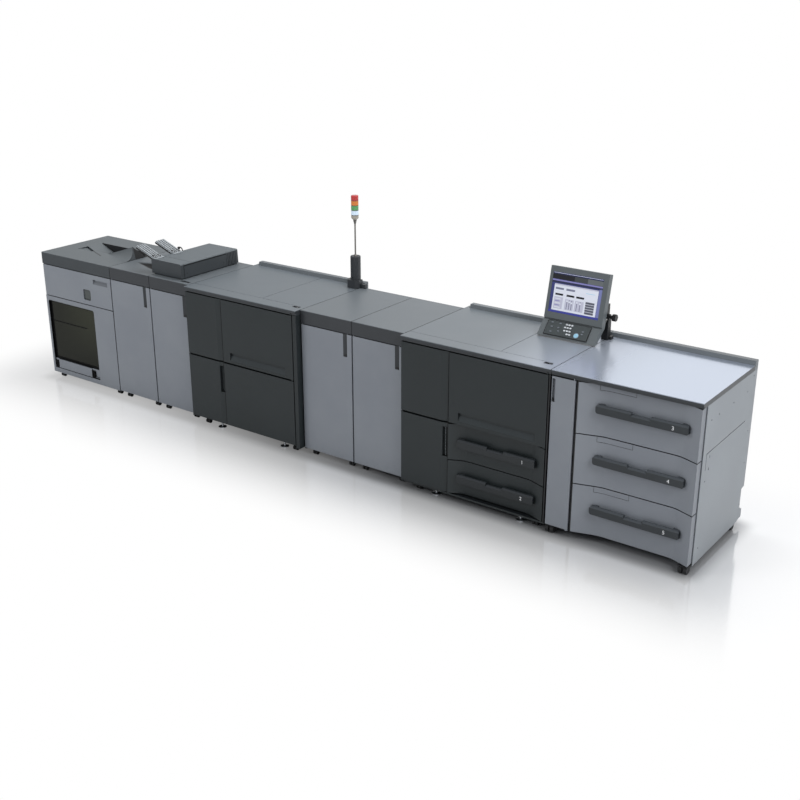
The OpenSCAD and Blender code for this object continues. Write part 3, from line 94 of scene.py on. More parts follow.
def coatedSurface(name, look):
    # painted sheet or moulded cover: mottled colour, fine grain, scuffs low down, painted shade and some dust
    # in seams, painted light and shade by facing
    look = {**coatDefaults, "scuff": look["main"], **look}
    material, tree = startMaterial(name)
    place = addNode(tree, "TexCoord")
    here = place.outputs["Object"]
    x, y, z = addNode(tree, "SeparateXYZ", {}, {0: here}).outputs
    facing = addNode(tree, "SeparateXYZ", {}, {0: place.outputs["Normal"]}).outputs
    # clouds about 435 mm across
    cloud = addNode(tree, "TexNoise", {}, {"Vector": here, "Scale": 2.3, "Detail": 4.0, "Roughness": 0.55})
    cloudy = addNode(tree, "MapRange", softStep, {"Value": cloud, 1: 0.3, 2: 0.75})
    colour = addNode(tree, "Mix", colourMix,
                     {0: cloudy, 6: toLinear(look["dull"]), 7: toLinear(look["main"])})
    masks = {}
    # painted light and shade by facing: upward faces take a colour of their own, lighter on lit tops and
    # bevels, darker on edges seen down shaded gaps
    if "up" in look:
        masks["up"] = addNode(tree, "MapRange", softStep, {"Value": facing["Z"], 1: 0.35, 2: 0.75})
    if "hoodFrom" in look:
        # painted light: the moulded hood above the top takes the upward faces' lighter colour down its slope,
        # less where it turns towards its end
        above = addNode(tree, "MapRange", softStep,
                        {"Value": z, 1: look["hoodFrom"], 2: look["hoodFrom"] + 0.004})
        slope = addNode(tree, "MapRange", softStep, {"Value": facing["X"], 1: 1.3, 2: 0.3})
        onHood = addNode(tree, "Math", times, {0: above, 1: slope})
        masks["up"] = addNode(tree, "Math", larger, {0: masks["up"], 1: onHood})
    # painted reflection: upward faces turn a bright bluish white towards the right end
    if "right" in look:
        onRight = addNode(tree, "MapRange", softStep, {"Value": x, 1: look["rightFrom"], 2: look["rightTo"]})
        masks["right"] = addNode(tree, "Math", times, {0: onRight, 1: masks["up"]})
    if "rail" in look:
        masks["rail"] = addNode(tree, "MapRange", softStep,
                                {"Value": y, 1: look["railFrom"], 2: look["railFrom"] + 0.002})
    if "sunk" in look:
        # troughs and wells take little light: darker with depth below the top, behind the front edge
        deep = addNode(tree, "MapRange", softStep, {"Value": z, 1: look["sunkFrom"], 2: look["sunkTo"]})
        inside = addNode(tree, "MapRange", softStep,
                         {"Value": y, 1: look["sunkBehind"], 2: look["sunkBehind"] + 0.03})
        masks["sunk"] = addNode(tree, "Math", times, {0: deep, 1: inside})
    low = addNode(tree, "MapRange", softStep, {"Value": z, 1: 0.16, 2: 0.02})
    # scuffs about 26 mm long
    scuffs = addNode(tree, "TexNoise", {}, {"Vector": here, "Scale": 38.0, "Detail": 6.0, "Roughness": 0.7})
    patchy = addNode(tree, "MapRange", softStep, {"Value": scuffs, 1: 0.5, 2: 0.72})
    masks["scuff"] = addNode(tree, "Math", times, {0: low, 1: patchy})
    # painted shade, with some dust, in seams, gaps and corners
    crevice = addNode(tree, "AmbientOcclusion", {"samples": 4}, {"Distance": look["creviceMm"] * mm})
    masks["crevice"] = addNode(tree, "MapRange", softStep, {"Value": crevice.outputs["AO"], 1: 0.75, 2: 0.3})
    for finish, mask in masks.items():
        colour = addNode(tree, "Mix", colourMix, {0: mask, 6: colour, 7: toLinear(look[finish])})
    roughness = addNode(tree, "MapRange", {},
                        {"Value": cloud, "To Min": look["rough"] - 0.05, "To Max": look["rough"] + 0.07})
    metallic = 0.0
    if "right" in look:
        # painted reflection towards the right end, where the surface is also smoother and metallic
        roughness = addNode(tree, "Mix", {"data_type": "FLOAT"},
                            {0: masks["right"], 2: roughness, 3: look["rightRough"]})
        metallic = addNode(tree, "Math", times, {0: masks["right"], 1: look["rightMetal"]})
    # moulded or sprayed grain over softly rounded edges
    edge = addNode(tree, "Bevel", {"samples": 4}, {"Radius": look["edgeMm"] * mm})
    grain = addNode(tree, "TexNoise", {},
                    {"Vector": here, "Scale": 1 / (look["grainMm"] * mm), "Detail": 3.0, "Roughness": 0.6})
    bump = addNode(tree, "Bump", {},
                   {"Height": grain, "Normal": edge, "Strength": 0.35, "Distance": look["depthMm"] * mm})
    shader = addNode(tree, "BsdfPrincipled", {}, {
        "Base Color": colour, "Roughness": roughness, "Metallic": metallic, "Normal": bump,
        "IOR": 1.5, "Specular IOR Level": look["specular"]})
    addNode(tree, "OutputMaterial", {}, {0: shader})
    return material


coatLooks = {
    # powder coat on steel sheet: satin with a fine orange peel; upward faces painted dark, as shade down the
    # gaps between fronts
    "powderCoatLightGrey": {"main": "#80858C", "dull": "#797E86", "up": "#2E3135", "scuff": "#767B82",
                            "rough": 0.42, "grainMm": 1.4, "creviceMm": 13, "crevice": "#08090A"},
    # the feeder's outer side sheet, a paler coat of the same kind
    "powderCoatPaleGrey": {"main": "#8A9096", "dull": "#82888E", "scuff": "#7E8388", "rough": 0.4,
                           "grainMm": 1.4, "creviceMm": 12, "crevice": "#08090A"},
    # ABS covers with a spark-eroded texture: near black, slightly green, low sheen; upward faces painted
    # darker, as shade
    "texturedAbsAnthracite": {"main": "#23292B", "dull": "#1F2527", "up": "#14171A", "scuff": "#282D2F",
                              "rough": 0.48, "grainMm": 0.9, "depthMm": 0.09, "creviceMm": 15,
                              "crevice": "#040506"},
    # top plates: lacquered steel, dark on the folded front edge; the mid grey on top is painted light from
    # above, with a painted bright reflection towards the right end
    "lacqueredTopPlate": {"main": "#34383C", "dull": "#303438", "up": "#656C72", "right": "#C9D2E2",
                          "rightFrom": 1.2, "rightTo": 2.5, "rightRough": 0.2, "rightMetal": 0.85,
                          "rail": "#656B70", "railFrom": 0.3525, "rough": 0.34, "grainMm": 1.2,
                          "depthMm": 0.02},
    # bands over the slim units: the same lacquer, flatter; painted light on upward faces, painted shade in
    # the trough
    "lacqueredBand": {"main": "#34373B", "dull": "#303337", "up": "#656B70", "sunk": "#090A0C",
                      "sunkFrom": 1.0405, "sunkTo": 1.029, "sunkBehind": -0.3, "rough": 0.4,
                      "grainMm": 1.2, "depthMm": 0.03},
    # stacker top: polystyrene with a fine leather grain, its well and hood in one moulding; painted light on
    # upward faces and down the hood, painted shade in the well
    "grainedPolystyreneTop": {"main": "#3A3F43", "dull": "#353A3E", "up": "#62686C", "hoodFrom": 1.043,
                              "sunk": "#101214", "sunkFrom": 1.02, "sunkTo": 0.84, "sunkBehind": -0.3,
                              "rough": 0.45, "depthMm": 0.1, "creviceMm": 15},
    # inserter covers: the same polystyrene, a little darker; upward faces painted lighter, as light from
    # above
    "grainedPolystyreneGrey": {"main": "#363B3F", "dull": "#31363A", "up": "#5E656A", "rough": 0.42,
                               "depthMm": 0.1},
    # handles: glass-filled nylon, dark and a little glossy, upward faces painted lighter as light from above;
    # it also lines the door pockets as painted shade
    "glassFilledNylonDark": {"main": "#2B3034", "dull": "#262B2F", "up": "#3F4449", "scuff": "#2C3034",
                             "rough": 0.34, "grainMm": 0.7, "depthMm": 0.04},
    # the same nylon, darker: tray handles of the engine; upward faces painted lighter, as light from above
    "glassFilledNylonBlack": {"main": "#1E2326", "dull": "#1B1F22", "up": "#2B2F33", "scuff": "#202528",
                              "rough": 0.36, "grainMm": 0.7, "depthMm": 0.04},
    # the same nylon, smoke grey: liners of the slanted grips
    "glassFilledNylonSmoke": {"main": "#2E3437", "dull": "#2A3033", "rough": 0.34, "grainMm": 0.7,
                              "depthMm": 0.04, "creviceMm": 4},
    # black ABS of posts, arms and clips; also the black rim, caps and strips that are painted shade on the
    # key field, in grips, along the hand hollow and on the guides
    "mouldedAbsBlack": {"main": "#1B1C1E", "dull": "#17181A", "scuff": "#242527", "rough": 0.38},
    # soot-filled EPDM rubber and the black print behind the window's edge: matt, takes all light; also the
    # black strips that are painted shade in the door gaps and the inserter's lid seam
    "extrudedRubberBlack": {"main": "#050506", "dull": "#040405", "scuff": "#08090A", "rough": 0.55,
                            "specular": 0.15, "depthMm": 0.03},
    # charcoal ABS of the signal lamp's housing
    "mouldedAbsCharcoal": {"main": "#34373B", "dull": "#2F3236", "rough": 0.42},
    # grey-olive ABS cup round the lock
    "mouldedAbsOlive": {"main": "#4B504F", "dull": "#464B4A", "rough": 0.4},
    # pale grey ABS of the sheet guides
    "mouldedAbsPaleGrey": {"main": "#9BA1A6", "dull": "#92989D", "rough": 0.4},
    # operation panel housing: dark painted ABS
    "paintedAbsCharcoal": {"main": "#5D6366", "dull": "#575D60", "rough": 0.36, "grainMm": 0.7,
                           "depthMm": 0.04},
    # printed plate of the key field
    "paintedAbsSlate": {"main": "#3F4547", "dull": "#3A4042", "rough": 0.4, "grainMm": 0.7,
                        "depthMm": 0.04},
    # rubber wheels
    "casterRubber": {"main": "#161719", "dull": "#1E1F21", "scuff": "#2B2C2D", "rough": 0.6,
                     "grainMm": 1.0, "depthMm": 0.15},
    # ABS keys with a satin face, white and grey
    "mouldedKeyWhite": {"main": "#C9CDD3", "dull": "#BDC2C9", "rough": 0.35, "grainMm": 0.6,
                        "depthMm": 0.03, "edgeMm": 0.5},
    "mouldedKeyGrey": {"main": "#6E747C", "dull": "#676D75", "rough": 0.35, "grainMm": 0.6,
                       "depthMm": 0.03, "edgeMm": 0.5},
}
coats = {name: coatedSurface(name, look) for name, look in coatLooks.items()}


def brightMetal(name, hexText, roughness, lineMm):
    # turned or plated metal with faint lathe lines, drawn some six times coarser so that they show
    material, tree = startMaterial(name)
    here = addNode(tree, "TexCoord").outputs["Object"]
    waves = 0.314 / (lineMm * mm * 6.283)
    lines = addNode(tree, "TexWave", {"wave_type": "BANDS", "bands_direction": "Z"},
                    {"Vector": here, "Scale": waves, "Distortion": 1.5, "Detail": 2.0})
    bump = addNode(tree, "Bump", {}, {"Height": lines, "Strength": 0.15, "Distance": 0.02 * mm})
    # spots about 11 mm across
    spots = addNode(tree, "TexNoise", {}, {"Vector": here, "Scale": 90.0, "Detail": 4.0})
    dull = addNode(tree, "MapRange", {},
                   {"Value": spots, "To Min": roughness - 0.06, "To Max": roughness + 0.12})
    shader = addNode(tree, "BsdfPrincipled", {}, {
        "Base Color": toLinear(hexText), "Metallic": 1.0, "Roughness": dull, "Normal": bump})
    addNode(tree, "OutputMaterial", {}, {0: shader})
    return material


zincPlate = brightMetal("brightZincPlate", "#C9CCD0", 0.28, 0.6)
satinAluminium = brightMetal("satinAnodisedAluminium", "#8F8C87", 0.44, 0.5)


def smokedAcrylic():
    # smoked acrylic sheet: deep olive black, glossy, a little see-through, with painted light making it paler
    # towards its upper right corner
    look = {"deep": "#0E100D", "pale": "#333529", "tint": "#D6D9BE", "clear": 0.35, "specular": 0.24}
    material, tree = startMaterial("smokedAcrylicSheet")
    here = addNode(tree, "TexCoord").outputs["Object"]
    # a film of haze, 200 mm from patch to patch
    film = addNode(tree, "TexNoise", {}, {"Vector": here, "Scale": 5.0, "Detail": 3.0})
    haze = addNode(tree, "MapRange", {}, {"Value": film, "To Min": 0.03, "To Max": 0.1})
    axes = addNode(tree, "SeparateXYZ", {}, {0: here}).outputs
    # painted light: the colour pales towards the pane's upper right corner
    low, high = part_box("stacker_window")
    aside = addNode(tree, "MapRange", softStep, {"Value": axes["X"], 1: low.x, 2: high.x})
    above = addNode(tree, "MapRange", softStep, {"Value": axes["Z"], 1: low.z, 2: high.z})
    towardsLitCorner = addNode(tree, "Math", times, {0: aside, 1: above})
    colour = addNode(tree, "Mix", colourMix,
                     {0: towardsLitCorner, 6: toLinear(look["deep"]), 7: toLinear(look["pale"])})
    shader = addNode(tree, "BsdfPrincipled", {}, {
        "Base Color": colour, "Roughness": haze, "Transmission Weight": look["clear"], "IOR": 1.49,
        "Specular IOR Level": look["specular"], "Specular Tint": toLinear(look["tint"])})
    addNode(tree, "OutputMaterial", {}, {0: shader})
    return material


def lensStack():
    # polycarbonate lens rings, coloured from the foot up, ribbed inside so that light scatters, each glowing
    # faintly: painted light
    look = {"foot": "#98948A", "rings": ("#CFE2F4", "#4F9457", "#CC7320", "#AF2020"), "joint": "#4B4442",
            "ringMm": 34, "ribs": 40}
    material, tree = startMaterial("ribbedPolycarbonateLenses")
    here = addNode(tree, "TexCoord").outputs["Object"]
    z = addNode(tree, "SeparateXYZ", {}, {0: here}).outputs["Z"]
    lowest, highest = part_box("lamp_lenses")
    colour = toLinear(look["foot"])
    for turn, hexText in enumerate(look["rings"]):
        edge = highest.z - (len(look["rings"]) - turn) * look["ringMm"] * mm
        above = addNode(tree, "MapRange", softStep, {"Value": z, 1: edge - 0.8 * mm, 2: edge})
        colour = addNode(tree, "Mix", colourMix, {0: above, 6: colour, 7: toLinear(hexText)})
        # dark joint under each ring
        under = addNode(tree, "MapRange", softStep, {"Value": z, 1: edge - 3.5 * mm, 2: edge - 2 * mm})
        over = addNode(tree, "MapRange", softStep, {"Value": z, 1: edge + 2.5 * mm, 2: edge + 1 * mm})
        joint = addNode(tree, "Math", times, {0: under, 1: over})
        colour = addNode(tree, "Mix", colourMix, {0: joint, 6: colour, 7: toLinear(look["joint"])})
    middle = (lowest + highest) / 2
    fromMiddle = addNode(tree, "VectorMath", {"operation": "SUBTRACT"}, {0: here, 1: (middle.x, middle.y, 0)})
    around = addNode(tree, "TexGradient", {"gradient_type": "RADIAL"}, {"Vector": fromMiddle})
    turned = addNode(tree, "Math", times, {0: around.outputs[1], 1: 6.2832 * look["ribs"]})
    ribs = addNode(tree, "Math", {"operation": "SINE"}, {0: turned})
    bump = addNode(tree, "Bump", {}, {"Height": ribs, "Strength": 0.5, "Distance": 0.5 * mm})
    # every ring glows faintly in its own colour: painted light
    shader = addNode(tree, "BsdfPrincipled", {}, {
        "Base Color": colour, "Normal": bump, "Emission Color": colour, "Emission Strength": 0.18,
        "Roughness": 0.2, "IOR": 1.58, "Coat Weight": 0.4})
    addNode(tree, "OutputMaterial", {}, {0: shader})
    return material


def glowingFilm(name, hexText, glow):
    # a patch of the lit display behind its cover sheet, with dots about 1.4 mm apart
    material, tree = startMaterial(name)
    here = addNode(tree, "TexCoord").outputs["Object"]
    dots = addNode(tree, "TexNoise", {}, {"Vector": here, "Scale": 700.0, "Detail": 1.0})
    faint = addNode(tree, "MapRange", {}, {"Value": dots, "To Max": 0.12})
    colour = addNode(tree, "Mix", colourMix, {0: faint, 6: toLinear(hexText), 7: toLinear("#20242A")})
    shader = addNode(tree, "BsdfPrincipled", {}, {
        "Base Color": colour, "Emission Color": colour, "Emission Strength": glow, "Roughness": 0.16})
    addNode(tree, "OutputMaterial", {}, {0: shader})
    return material


filmColours = {"pageWhite": "#D2D6E2", "pageGrey": "#70748A", "pageBlue": "#3A3F8C", "pageViolet": "#7F7DB2",
               "pageNavy": "#262A42", "pageBlack": "#17181F", "pageFrame": "#363C70", "pageTable": "#565865",
               "pagePale": "#B6B7C9", "pageSky": "#A9C9DE", "pageAsh": "#5C6164", "pageSmoke": "#3B3F42",
               "pageEdge": "#7076A6", "startBlue": "#88B2C8"}
films = {name: glowingFilm(name, hexText, 0.22) for name, hexText in filmColours.items()}
printWhite = glowingFilm("screenPrintedWhite", "#E9EBEE", 0.0)
print("materials made")

# ---- finishes of the CAD solids ----
finishOf = {
    "powderCoatLightGrey": ["feeder_cabinet", "feeder_door", "drawer_3", "drawer_4", "drawer_5",
                            "relay_1_door", "relay_2_door", "fold_door", "guide_door", "stacker_housing",
                            "stacker_upper_door", "stacker_window_door"],
    "powderCoatPaleGrey": ["feeder_side_panel"],
    "texturedAbsAnthracite": ["engine_1_housing", "engine_2_housing", "engine_covers", "engine_1_side_door",
                              "engine_1_front_door", "engine_2_side_door", "engine_2_front_door", "tray_1",
                              "tray_2", "unit_housings"],
    "mouldedAbsCharcoal": ["lamp_base"],
    "lacqueredTopPlate": ["machine_tops"],
    "lacqueredBand": ["unit_tops"],
    "grainedPolystyreneGrey": ["inserter_box"],
    "grainedPolystyreneTop": ["stacker_top"],
    "glassFilledNylonDark": ["drawer_3_handle", "drawer_4_handle", "drawer_5_handle"],
    "glassFilledNylonBlack": ["tray_1_handle", "tray_2_handle"],
    "mouldedAbsBlack": ["black_trims", "panel_post", "panel_arm", "stacker_cart"],
    "mouldedAbsPaleGrey": ["inserter_guides"],
    "paintedAbsCharcoal": ["display"],
    "casterRubber": ["casters"],
}
dressing = {node: coats[finish] for finish, nodes in finishOf.items() for node in nodes}
dressing.update({"levelling_feet": zincPlate, "lamp_pole": satinAluminium, "stacker_window": smokedAcrylic(),
                 "lamp_lenses": lensStack(), "display_screen": films["pageFrame"]})
for node, material in dressing.items():
    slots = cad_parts[node].data.materials
    slots.clear()
    slots.append(material)
print("solids dressed")


# ---- small tools for pieces, all in mm ----
def boxOf(node):
    # lowest and highest corner of a CAD solid
    low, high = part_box(node)
    return low / mm, high / mm


def newParts():
    return {"points": [], "faces": [], "slots": []}


def addRings(parts, rings, slot=0):
    # skin over a row of point rings, capped at both ends
    first = len(parts["points"])
    count = len(rings[0])
    for ring in rings:
        parts["points"] += ring
    last = first + (len(rings) - 1) * count
    for start in range(first, last, count):
        for i in range(count):
            a, b = start + i, start + (i + 1) % count
            parts["faces"].append((a, b, b + count, a + count))
    parts["faces"] += [tuple(range(first + count - 1, first - 1, -1)), tuple(range(last, last + count))]
    parts["slots"] += [slot] * ((len(rings) - 1) * count + 2)


def addSlab(parts, corner, across, along, size, shape, slot=0, turns=4):
    # rounded plate: corner is its lower left point on the surface that across and along span,
    # shape is its thickness, corner radius and bevel
    out = across.cross(along)
    width, height = size
    thick, radius, bevel = shape
    bends = ((width - radius, radius, -90), (width - radius, height - radius, 0),
             (radius, height - radius, 90), (radius, radius, 180))
    levels = [(0, 0), (0, thick - bevel)]
    if bevel:
        levels.append((bevel, thick))
    rings = []
    for inset, level in levels:
        reach = max(radius - inset, 0.05)
        ring = []
        for x, y, start in bends:
            for turn in range(turns + 1):
                angle = math.radians(start + 90 * turn / turns)
                ring.append(corner + across * (x + reach * math.cos(angle))
                            + along * (y + reach * math.sin(angle)) + out * level)
        rings.append(ring)
    addRings(parts, rings, slot)


def addFrame(parts, corner, across, along, size, widths, shape, slot=0, turns=4):
    # flat frame of four bars inside size: widths are those of its left, right, lower and upper bar
    wide, tall = size
    leftBar, rightBar, lowBar, highBar = widths
    between = wide - leftBar - rightBar
    for x, y, bar in ((0, 0, (leftBar, tall)), (wide - rightBar, 0, (rightBar, tall)),
                      (leftBar, 0, (between, lowBar)), (leftBar, tall - highBar, (between, highBar))):
        addSlab(parts, corner + across * x + along * y, across, along, bar, shape, slot, turns)


def addTurned(parts, centre, axis, profile, slot=0, turns=24):
    # turned form: profile is a list of radius and height along the axis
    side = axis.orthogonal().normalized()
    other = axis.cross(side)
    spokes = [side * math.cos(2 * math.pi * i / turns) + other * math.sin(2 * math.pi * i / turns)
              for i in range(turns)]
    rings = [[centre + axis * height + spoke * radius for spoke in spokes] for radius, height in profile]
    addRings(parts, rings, slot)


def addScrew(parts, centre, axis, radius, slot=0):
    # pan head with a hexagon socket, drawn by its rim and its floor
    shares = ((1, 0), (1, 0.35), (0.8, 0.6), (0.5, 0.66), (0.5, 0.2))
    addTurned(parts, centre, axis, [(radius * out, radius * rise) for out, rise in shares], slot, 12)


def stepsAlong(path):
    # each point of a path, with the direction that the path has there
    path = [Vector(point) for point in path]
    last = len(path) - 1
    return [(point, (path[min(i + 1, last)] - path[max(i - 1, 0)]).normalized())
            for i, point in enumerate(path)]


def makePiece(name, parts, materials, body, smoothAngle=30):
    mesh = bpy.data.meshes.new(name)
    mesh.from_pydata([point * mm for point in parts["points"]], [], parts["faces"])
    for material in materials:
        mesh.materials.append(material)
    mesh.polygons.foreach_set("material_index", parts["slots"])
    work = bmesh.new()
    work.from_mesh(mesh)
    bmesh.ops.recalc_face_normals(work, faces=work.faces)
    work.to_mesh(mesh)
    work.free()
    mesh.validate()
    piece = bpy.data.objects.new(name, mesh)
    scene.collection.objects.link(piece)
    if smoothAngle:
        for polygon in mesh.polygons:
            polygon.use_smooth = True
        mesh.set_sharp_from_angle(angle=math.radians(smoothAngle))
    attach(piece, body)


# In the dictionaries below, floor, skin, cap, rib, strip, rim and the like are shapes for addSlab.
# ---- display page: an own simple layout of bars and blocks ----
pageTrim = {"lean": 12.4, "lowEdge": 1.6, "lift": 0.02, "layer": 0.12, "patch": (0.1, 0.9, 0),
            "sliders": (118, 134, 150, 186, 208)}
lean = math.radians(pageTrim["lean"])
screenUp = Vector((0, math.sin(lean), math.cos(lean)))
screenOut = right.cross(screenUp)
screenCorner = boxOf("display_screen")[0] + up * pageTrim["lowEdge"] * math.sin(lean)
pageBlocks = [
    # left and low from the sheet's lower left corner, width, height, film, layer
    (0, 0, 344, 249, "pageFrame", 0), (0, 0, 344, 14, "pageBlue", 1), (324, 14, 20, 180, "pageEdge", 1),
    (4, 244, 336, 2, "pageWhite", 2), (0, 236, 344, 5, "pageNavy", 1),
    (0, 206, 150, 30, "pageBlack", 1), (150, 206, 90, 30, "pageSmoke", 1), (240, 206, 104, 30, "pageAsh", 1),
    (0, 196, 344, 8, "pageViolet", 1), (0, 184, 344, 10, "pageNavy", 1),
    (20, 14, 302, 164, "pageWhite", 1), (20, 170, 302, 8, "pagePale", 2),
    (30, 144, 56, 12, "pageGrey", 2), (104, 144, 60, 12, "pageGrey", 2), (240, 146, 62, 4, "pageSky", 2),
    (33, 108, 54, 12, "pageBlack", 2), (111, 108, 54, 12, "pageBlack", 2), (178, 108, 54, 12, "pageBlack", 2),
    (30, 26, 60, 72, "pagePale", 2), (106, 26, 60, 66, "pagePale", 2), (174, 26, 60, 66, "pagePale", 2),
]
# lines of a list, sliders with their knobs, rows of a table
for line in range(5):
    pageBlocks.append((36, 32 + 13 * line, 40 - 6 * (line % 2), 5, ("pageWhite", "pageViolet")[line % 2], 3))
for order, left in enumerate(pageTrim["sliders"]):
    pageBlocks += [(left, 30, 5, 58, "pageGrey", 3), (left - 3, 76 - 4 * (order % 3), 11, 10, "pageWhite", 4)]
for row in range(5):
    pageBlocks.append((246, 22 + 15.5 * row, 60, 13, "pageTable", 2))
page = newParts()
for left, low, width, height, film, layer in pageBlocks:
    lift = pageTrim["lift"] + pageTrim["layer"] * layer
    corner = screenCorner + right * left + screenUp * low + screenOut * lift
    addSlab(page, corner, right, screenUp, (width, height), pageTrim["patch"], list(films).index(film), 2)
makePiece("screenPage", page, list(films.values()), "operation_panel", 0)

# ---- key section ----
keyTrim = {"slope": 48, "footRise": 3, "floor": 5.1, "pitch": 18, "start": (260, 37),
           "whiteSize": (14, 10), "white": (3.2, 3, 0.7), "greySize": (14, 8), "grey": (2.8, 2.4, 0.7),
           "startCap": [(15, 0), (15, 2.6), (13.5, 3.8), (6, 4.2)],
           "startRing": [(19, 0), (19, 1.6), (17.5, 2.2)]}
# rows of white keys: lower edge, left edge of the first key, how many; lower left corners of the grey keys
whiteRows = ((92, 168, 3), (72, 163, 3), (50, 166, 3), (29, 190, 2))
greyCorners = ((67, 93), (123, 93), (119, 63), (127, 41), (77, 30), (73, 64), (287, 49), (287, 67))
keysSlope = math.radians(keyTrim["slope"])
keysUp = Vector((0, math.cos(keysSlope), math.sin(keysSlope)))
keysOut = right.cross(keysUp)
panelLow, panelHigh = boxOf("display")
keysFoot = panelLow + up * keyTrim["footRise"]
keysFloor = keysFoot + keysOut * keyTrim["floor"]
keys = newParts()
for low, left, count in whiteRows:
    for column in range(count):
        corner = keysFloor + right * (left + keyTrim["pitch"] * column) + keysUp * low
        addSlab(keys, corner, right, keysUp, keyTrim["whiteSize"], keyTrim["white"])
for left, low in greyCorners:
    corner = keysFloor + right * left + keysUp * low
    addSlab(keys, corner, right, keysUp, keyTrim["greySize"], keyTrim["grey"], 1)
# the round start key in its ring
startMiddle = keysFloor + right * keyTrim["start"][0] + keysUp * keyTrim["start"][1]
addTurned(keys, startMiddle, keysOut, keyTrim["startCap"], 2, 32)
addTurned(keys, startMiddle, keysOut, keyTrim["startRing"], 1, 32)
makePiece("keyCaps", keys, [coats["mouldedKeyWhite"], coats["mouldedKeyGrey"], films["startBlue"]],
          "operation_panel")

# the raised key field: slate plate in a black rim round its side walls, painted shade
fieldTrim = {"left": 44, "low": 15, "right": 65, "tall": 94, "rise": 5, "rimWide": 4,
             "plate": (0.4, 4, 0.2), "rim": (5.2, 0.8, 0.2)}
rimWide = fieldTrim["rimWide"]
fieldWide = panelHigh.x - panelLow.x - fieldTrim["left"] - fieldTrim["right"]
fieldTall = fieldTrim["tall"]
fieldCorner = keysFoot + right * fieldTrim["left"] + keysUp * fieldTrim["low"]
field = newParts()
addSlab(field, fieldCorner + right + keysUp + keysOut * fieldTrim["rise"], right, keysUp,
        (fieldWide - 2, fieldTall - 2), fieldTrim["plate"])
addFrame(field, fieldCorner - (right + keysUp) * rimWide + keysOut * 0.1, right, keysUp,
         (fieldWide + 2 * rimWide, fieldTall + 2 * rimWide), (rimWide,) * 4, fieldTrim["rim"], 1)
makePiece("keyFieldSheet", field, [coats["paintedAbsSlate"], coats["mouldedAbsBlack"]],
          "operation_panel")
print("operation panel dressed")

# ---- numerals on the handles: printed digits ----
numeralTrim = {"size": 32.2, "ink": 0.15, "lift": 0.2, "belowMiddle": 5,
               "fromRight": {"tray": 83, "drawer": 89}}
for digit, body in enumerate(("tray_1", "tray_2", "drawer_3", "drawer_4", "drawer_5"), 1):
    low, high = boxOf(body + "_handle")
    data = bpy.data.curves.new("numeral%d" % digit, "FONT")
    data.body = str(digit)
    data.size = numeralTrim["size"] * mm
    data.extrude = numeralTrim["ink"] * mm
    data.align_x = "CENTER"
    data.align_y = "CENTER"
    data.materials.append(printWhite)
    piece = bpy.data.objects.new("numeral%d" % digit, data)
    piece.rotation_euler = (math.radians(90), 0, 0)
    piece.location = Vector((high.x - numeralTrim["fromRight"][body[:-2]], low.y - numeralTrim["lift"],
                             (low.z + high.z) / 2 - numeralTrim["belowMiddle"])) * mm
    scene.collection.objects.link(piece)
    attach(piece, body)
print("numerals placed")

# ---- stacker window: rubber lining of its opening ----
windowTrim = {"doorProud": 3, "gap": 6, "cornerRadius": 18, "liningThick": 0.8, "liningFrom": 1.5,
              "liningTo": 22}
paneLow, paneHigh = boxOf("stacker_window")
doorLow, doorHigh = boxOf("stacker_window_door")
unitFront = doorLow.y + windowTrim["doorProud"]
cornerRadius = windowTrim["cornerRadius"]
liningLeft, liningRight = paneLow.x - windowTrim["gap"], paneHigh.x + windowTrim["gap"]
bendLow = paneHigh.z + windowTrim["gap"] - cornerRadius
bend = [(cornerRadius * math.cos(math.radians(a)), cornerRadius * math.sin(math.radians(a)))
        for a in range(0, 91, 15)]
liningPath = [(liningLeft, doorLow.z)]
liningPath += [(liningLeft + cornerRadius - x, bendLow + z) for x, z in bend]
liningPath += [(liningRight - cornerRadius + x, bendLow + z) for z, x in bend]
liningPath += [(liningRight, doorLow.z)]
near, far = unitFront + windowTrim["liningFrom"], unitFront + windowTrim["liningTo"]
liningRings = []
for point, along in stepsAlong(liningPath):
    inner = point + Vector((along.y, -along.x)) * windowTrim["liningThick"]
    liningRings.append([Vector((x, y, z)) for x, y, z in ((point.x, near, point.y), (inner.x, near, inner.y),
                                                          (inner.x, far, inner.y), (point.x, far, point.y))])
lining = newParts()
addRings(lining, liningRings)
makePiece("windowLining", lining, [coats["extrudedRubberBlack"]], "frame")

# black print round the pane, and the bar across it
borderTrim = {"widths": (20, 8, 22, 5), "print": (0.3, 1.5, 0), "barFrom": 18, "barHeight": 476,
              "barSize": (408, 9), "bar": (0.6, 2, 0.2)}
border = newParts()
addFrame(border, Vector((paneLow.x, paneLow.y, doorHigh.z)), right, up,
         (paneHigh.x - paneLow.x, paneHigh.z - doorHigh.z), borderTrim["widths"], borderTrim["print"])
addSlab(border, Vector((paneLow.x + borderTrim["barFrom"], paneLow.y, borderTrim["barHeight"])), right, up,
        borderTrim["barSize"], borderTrim["bar"])
makePiece("paneBorder", border, [coats["extrudedRubberBlack"]], "stacker_window_door")

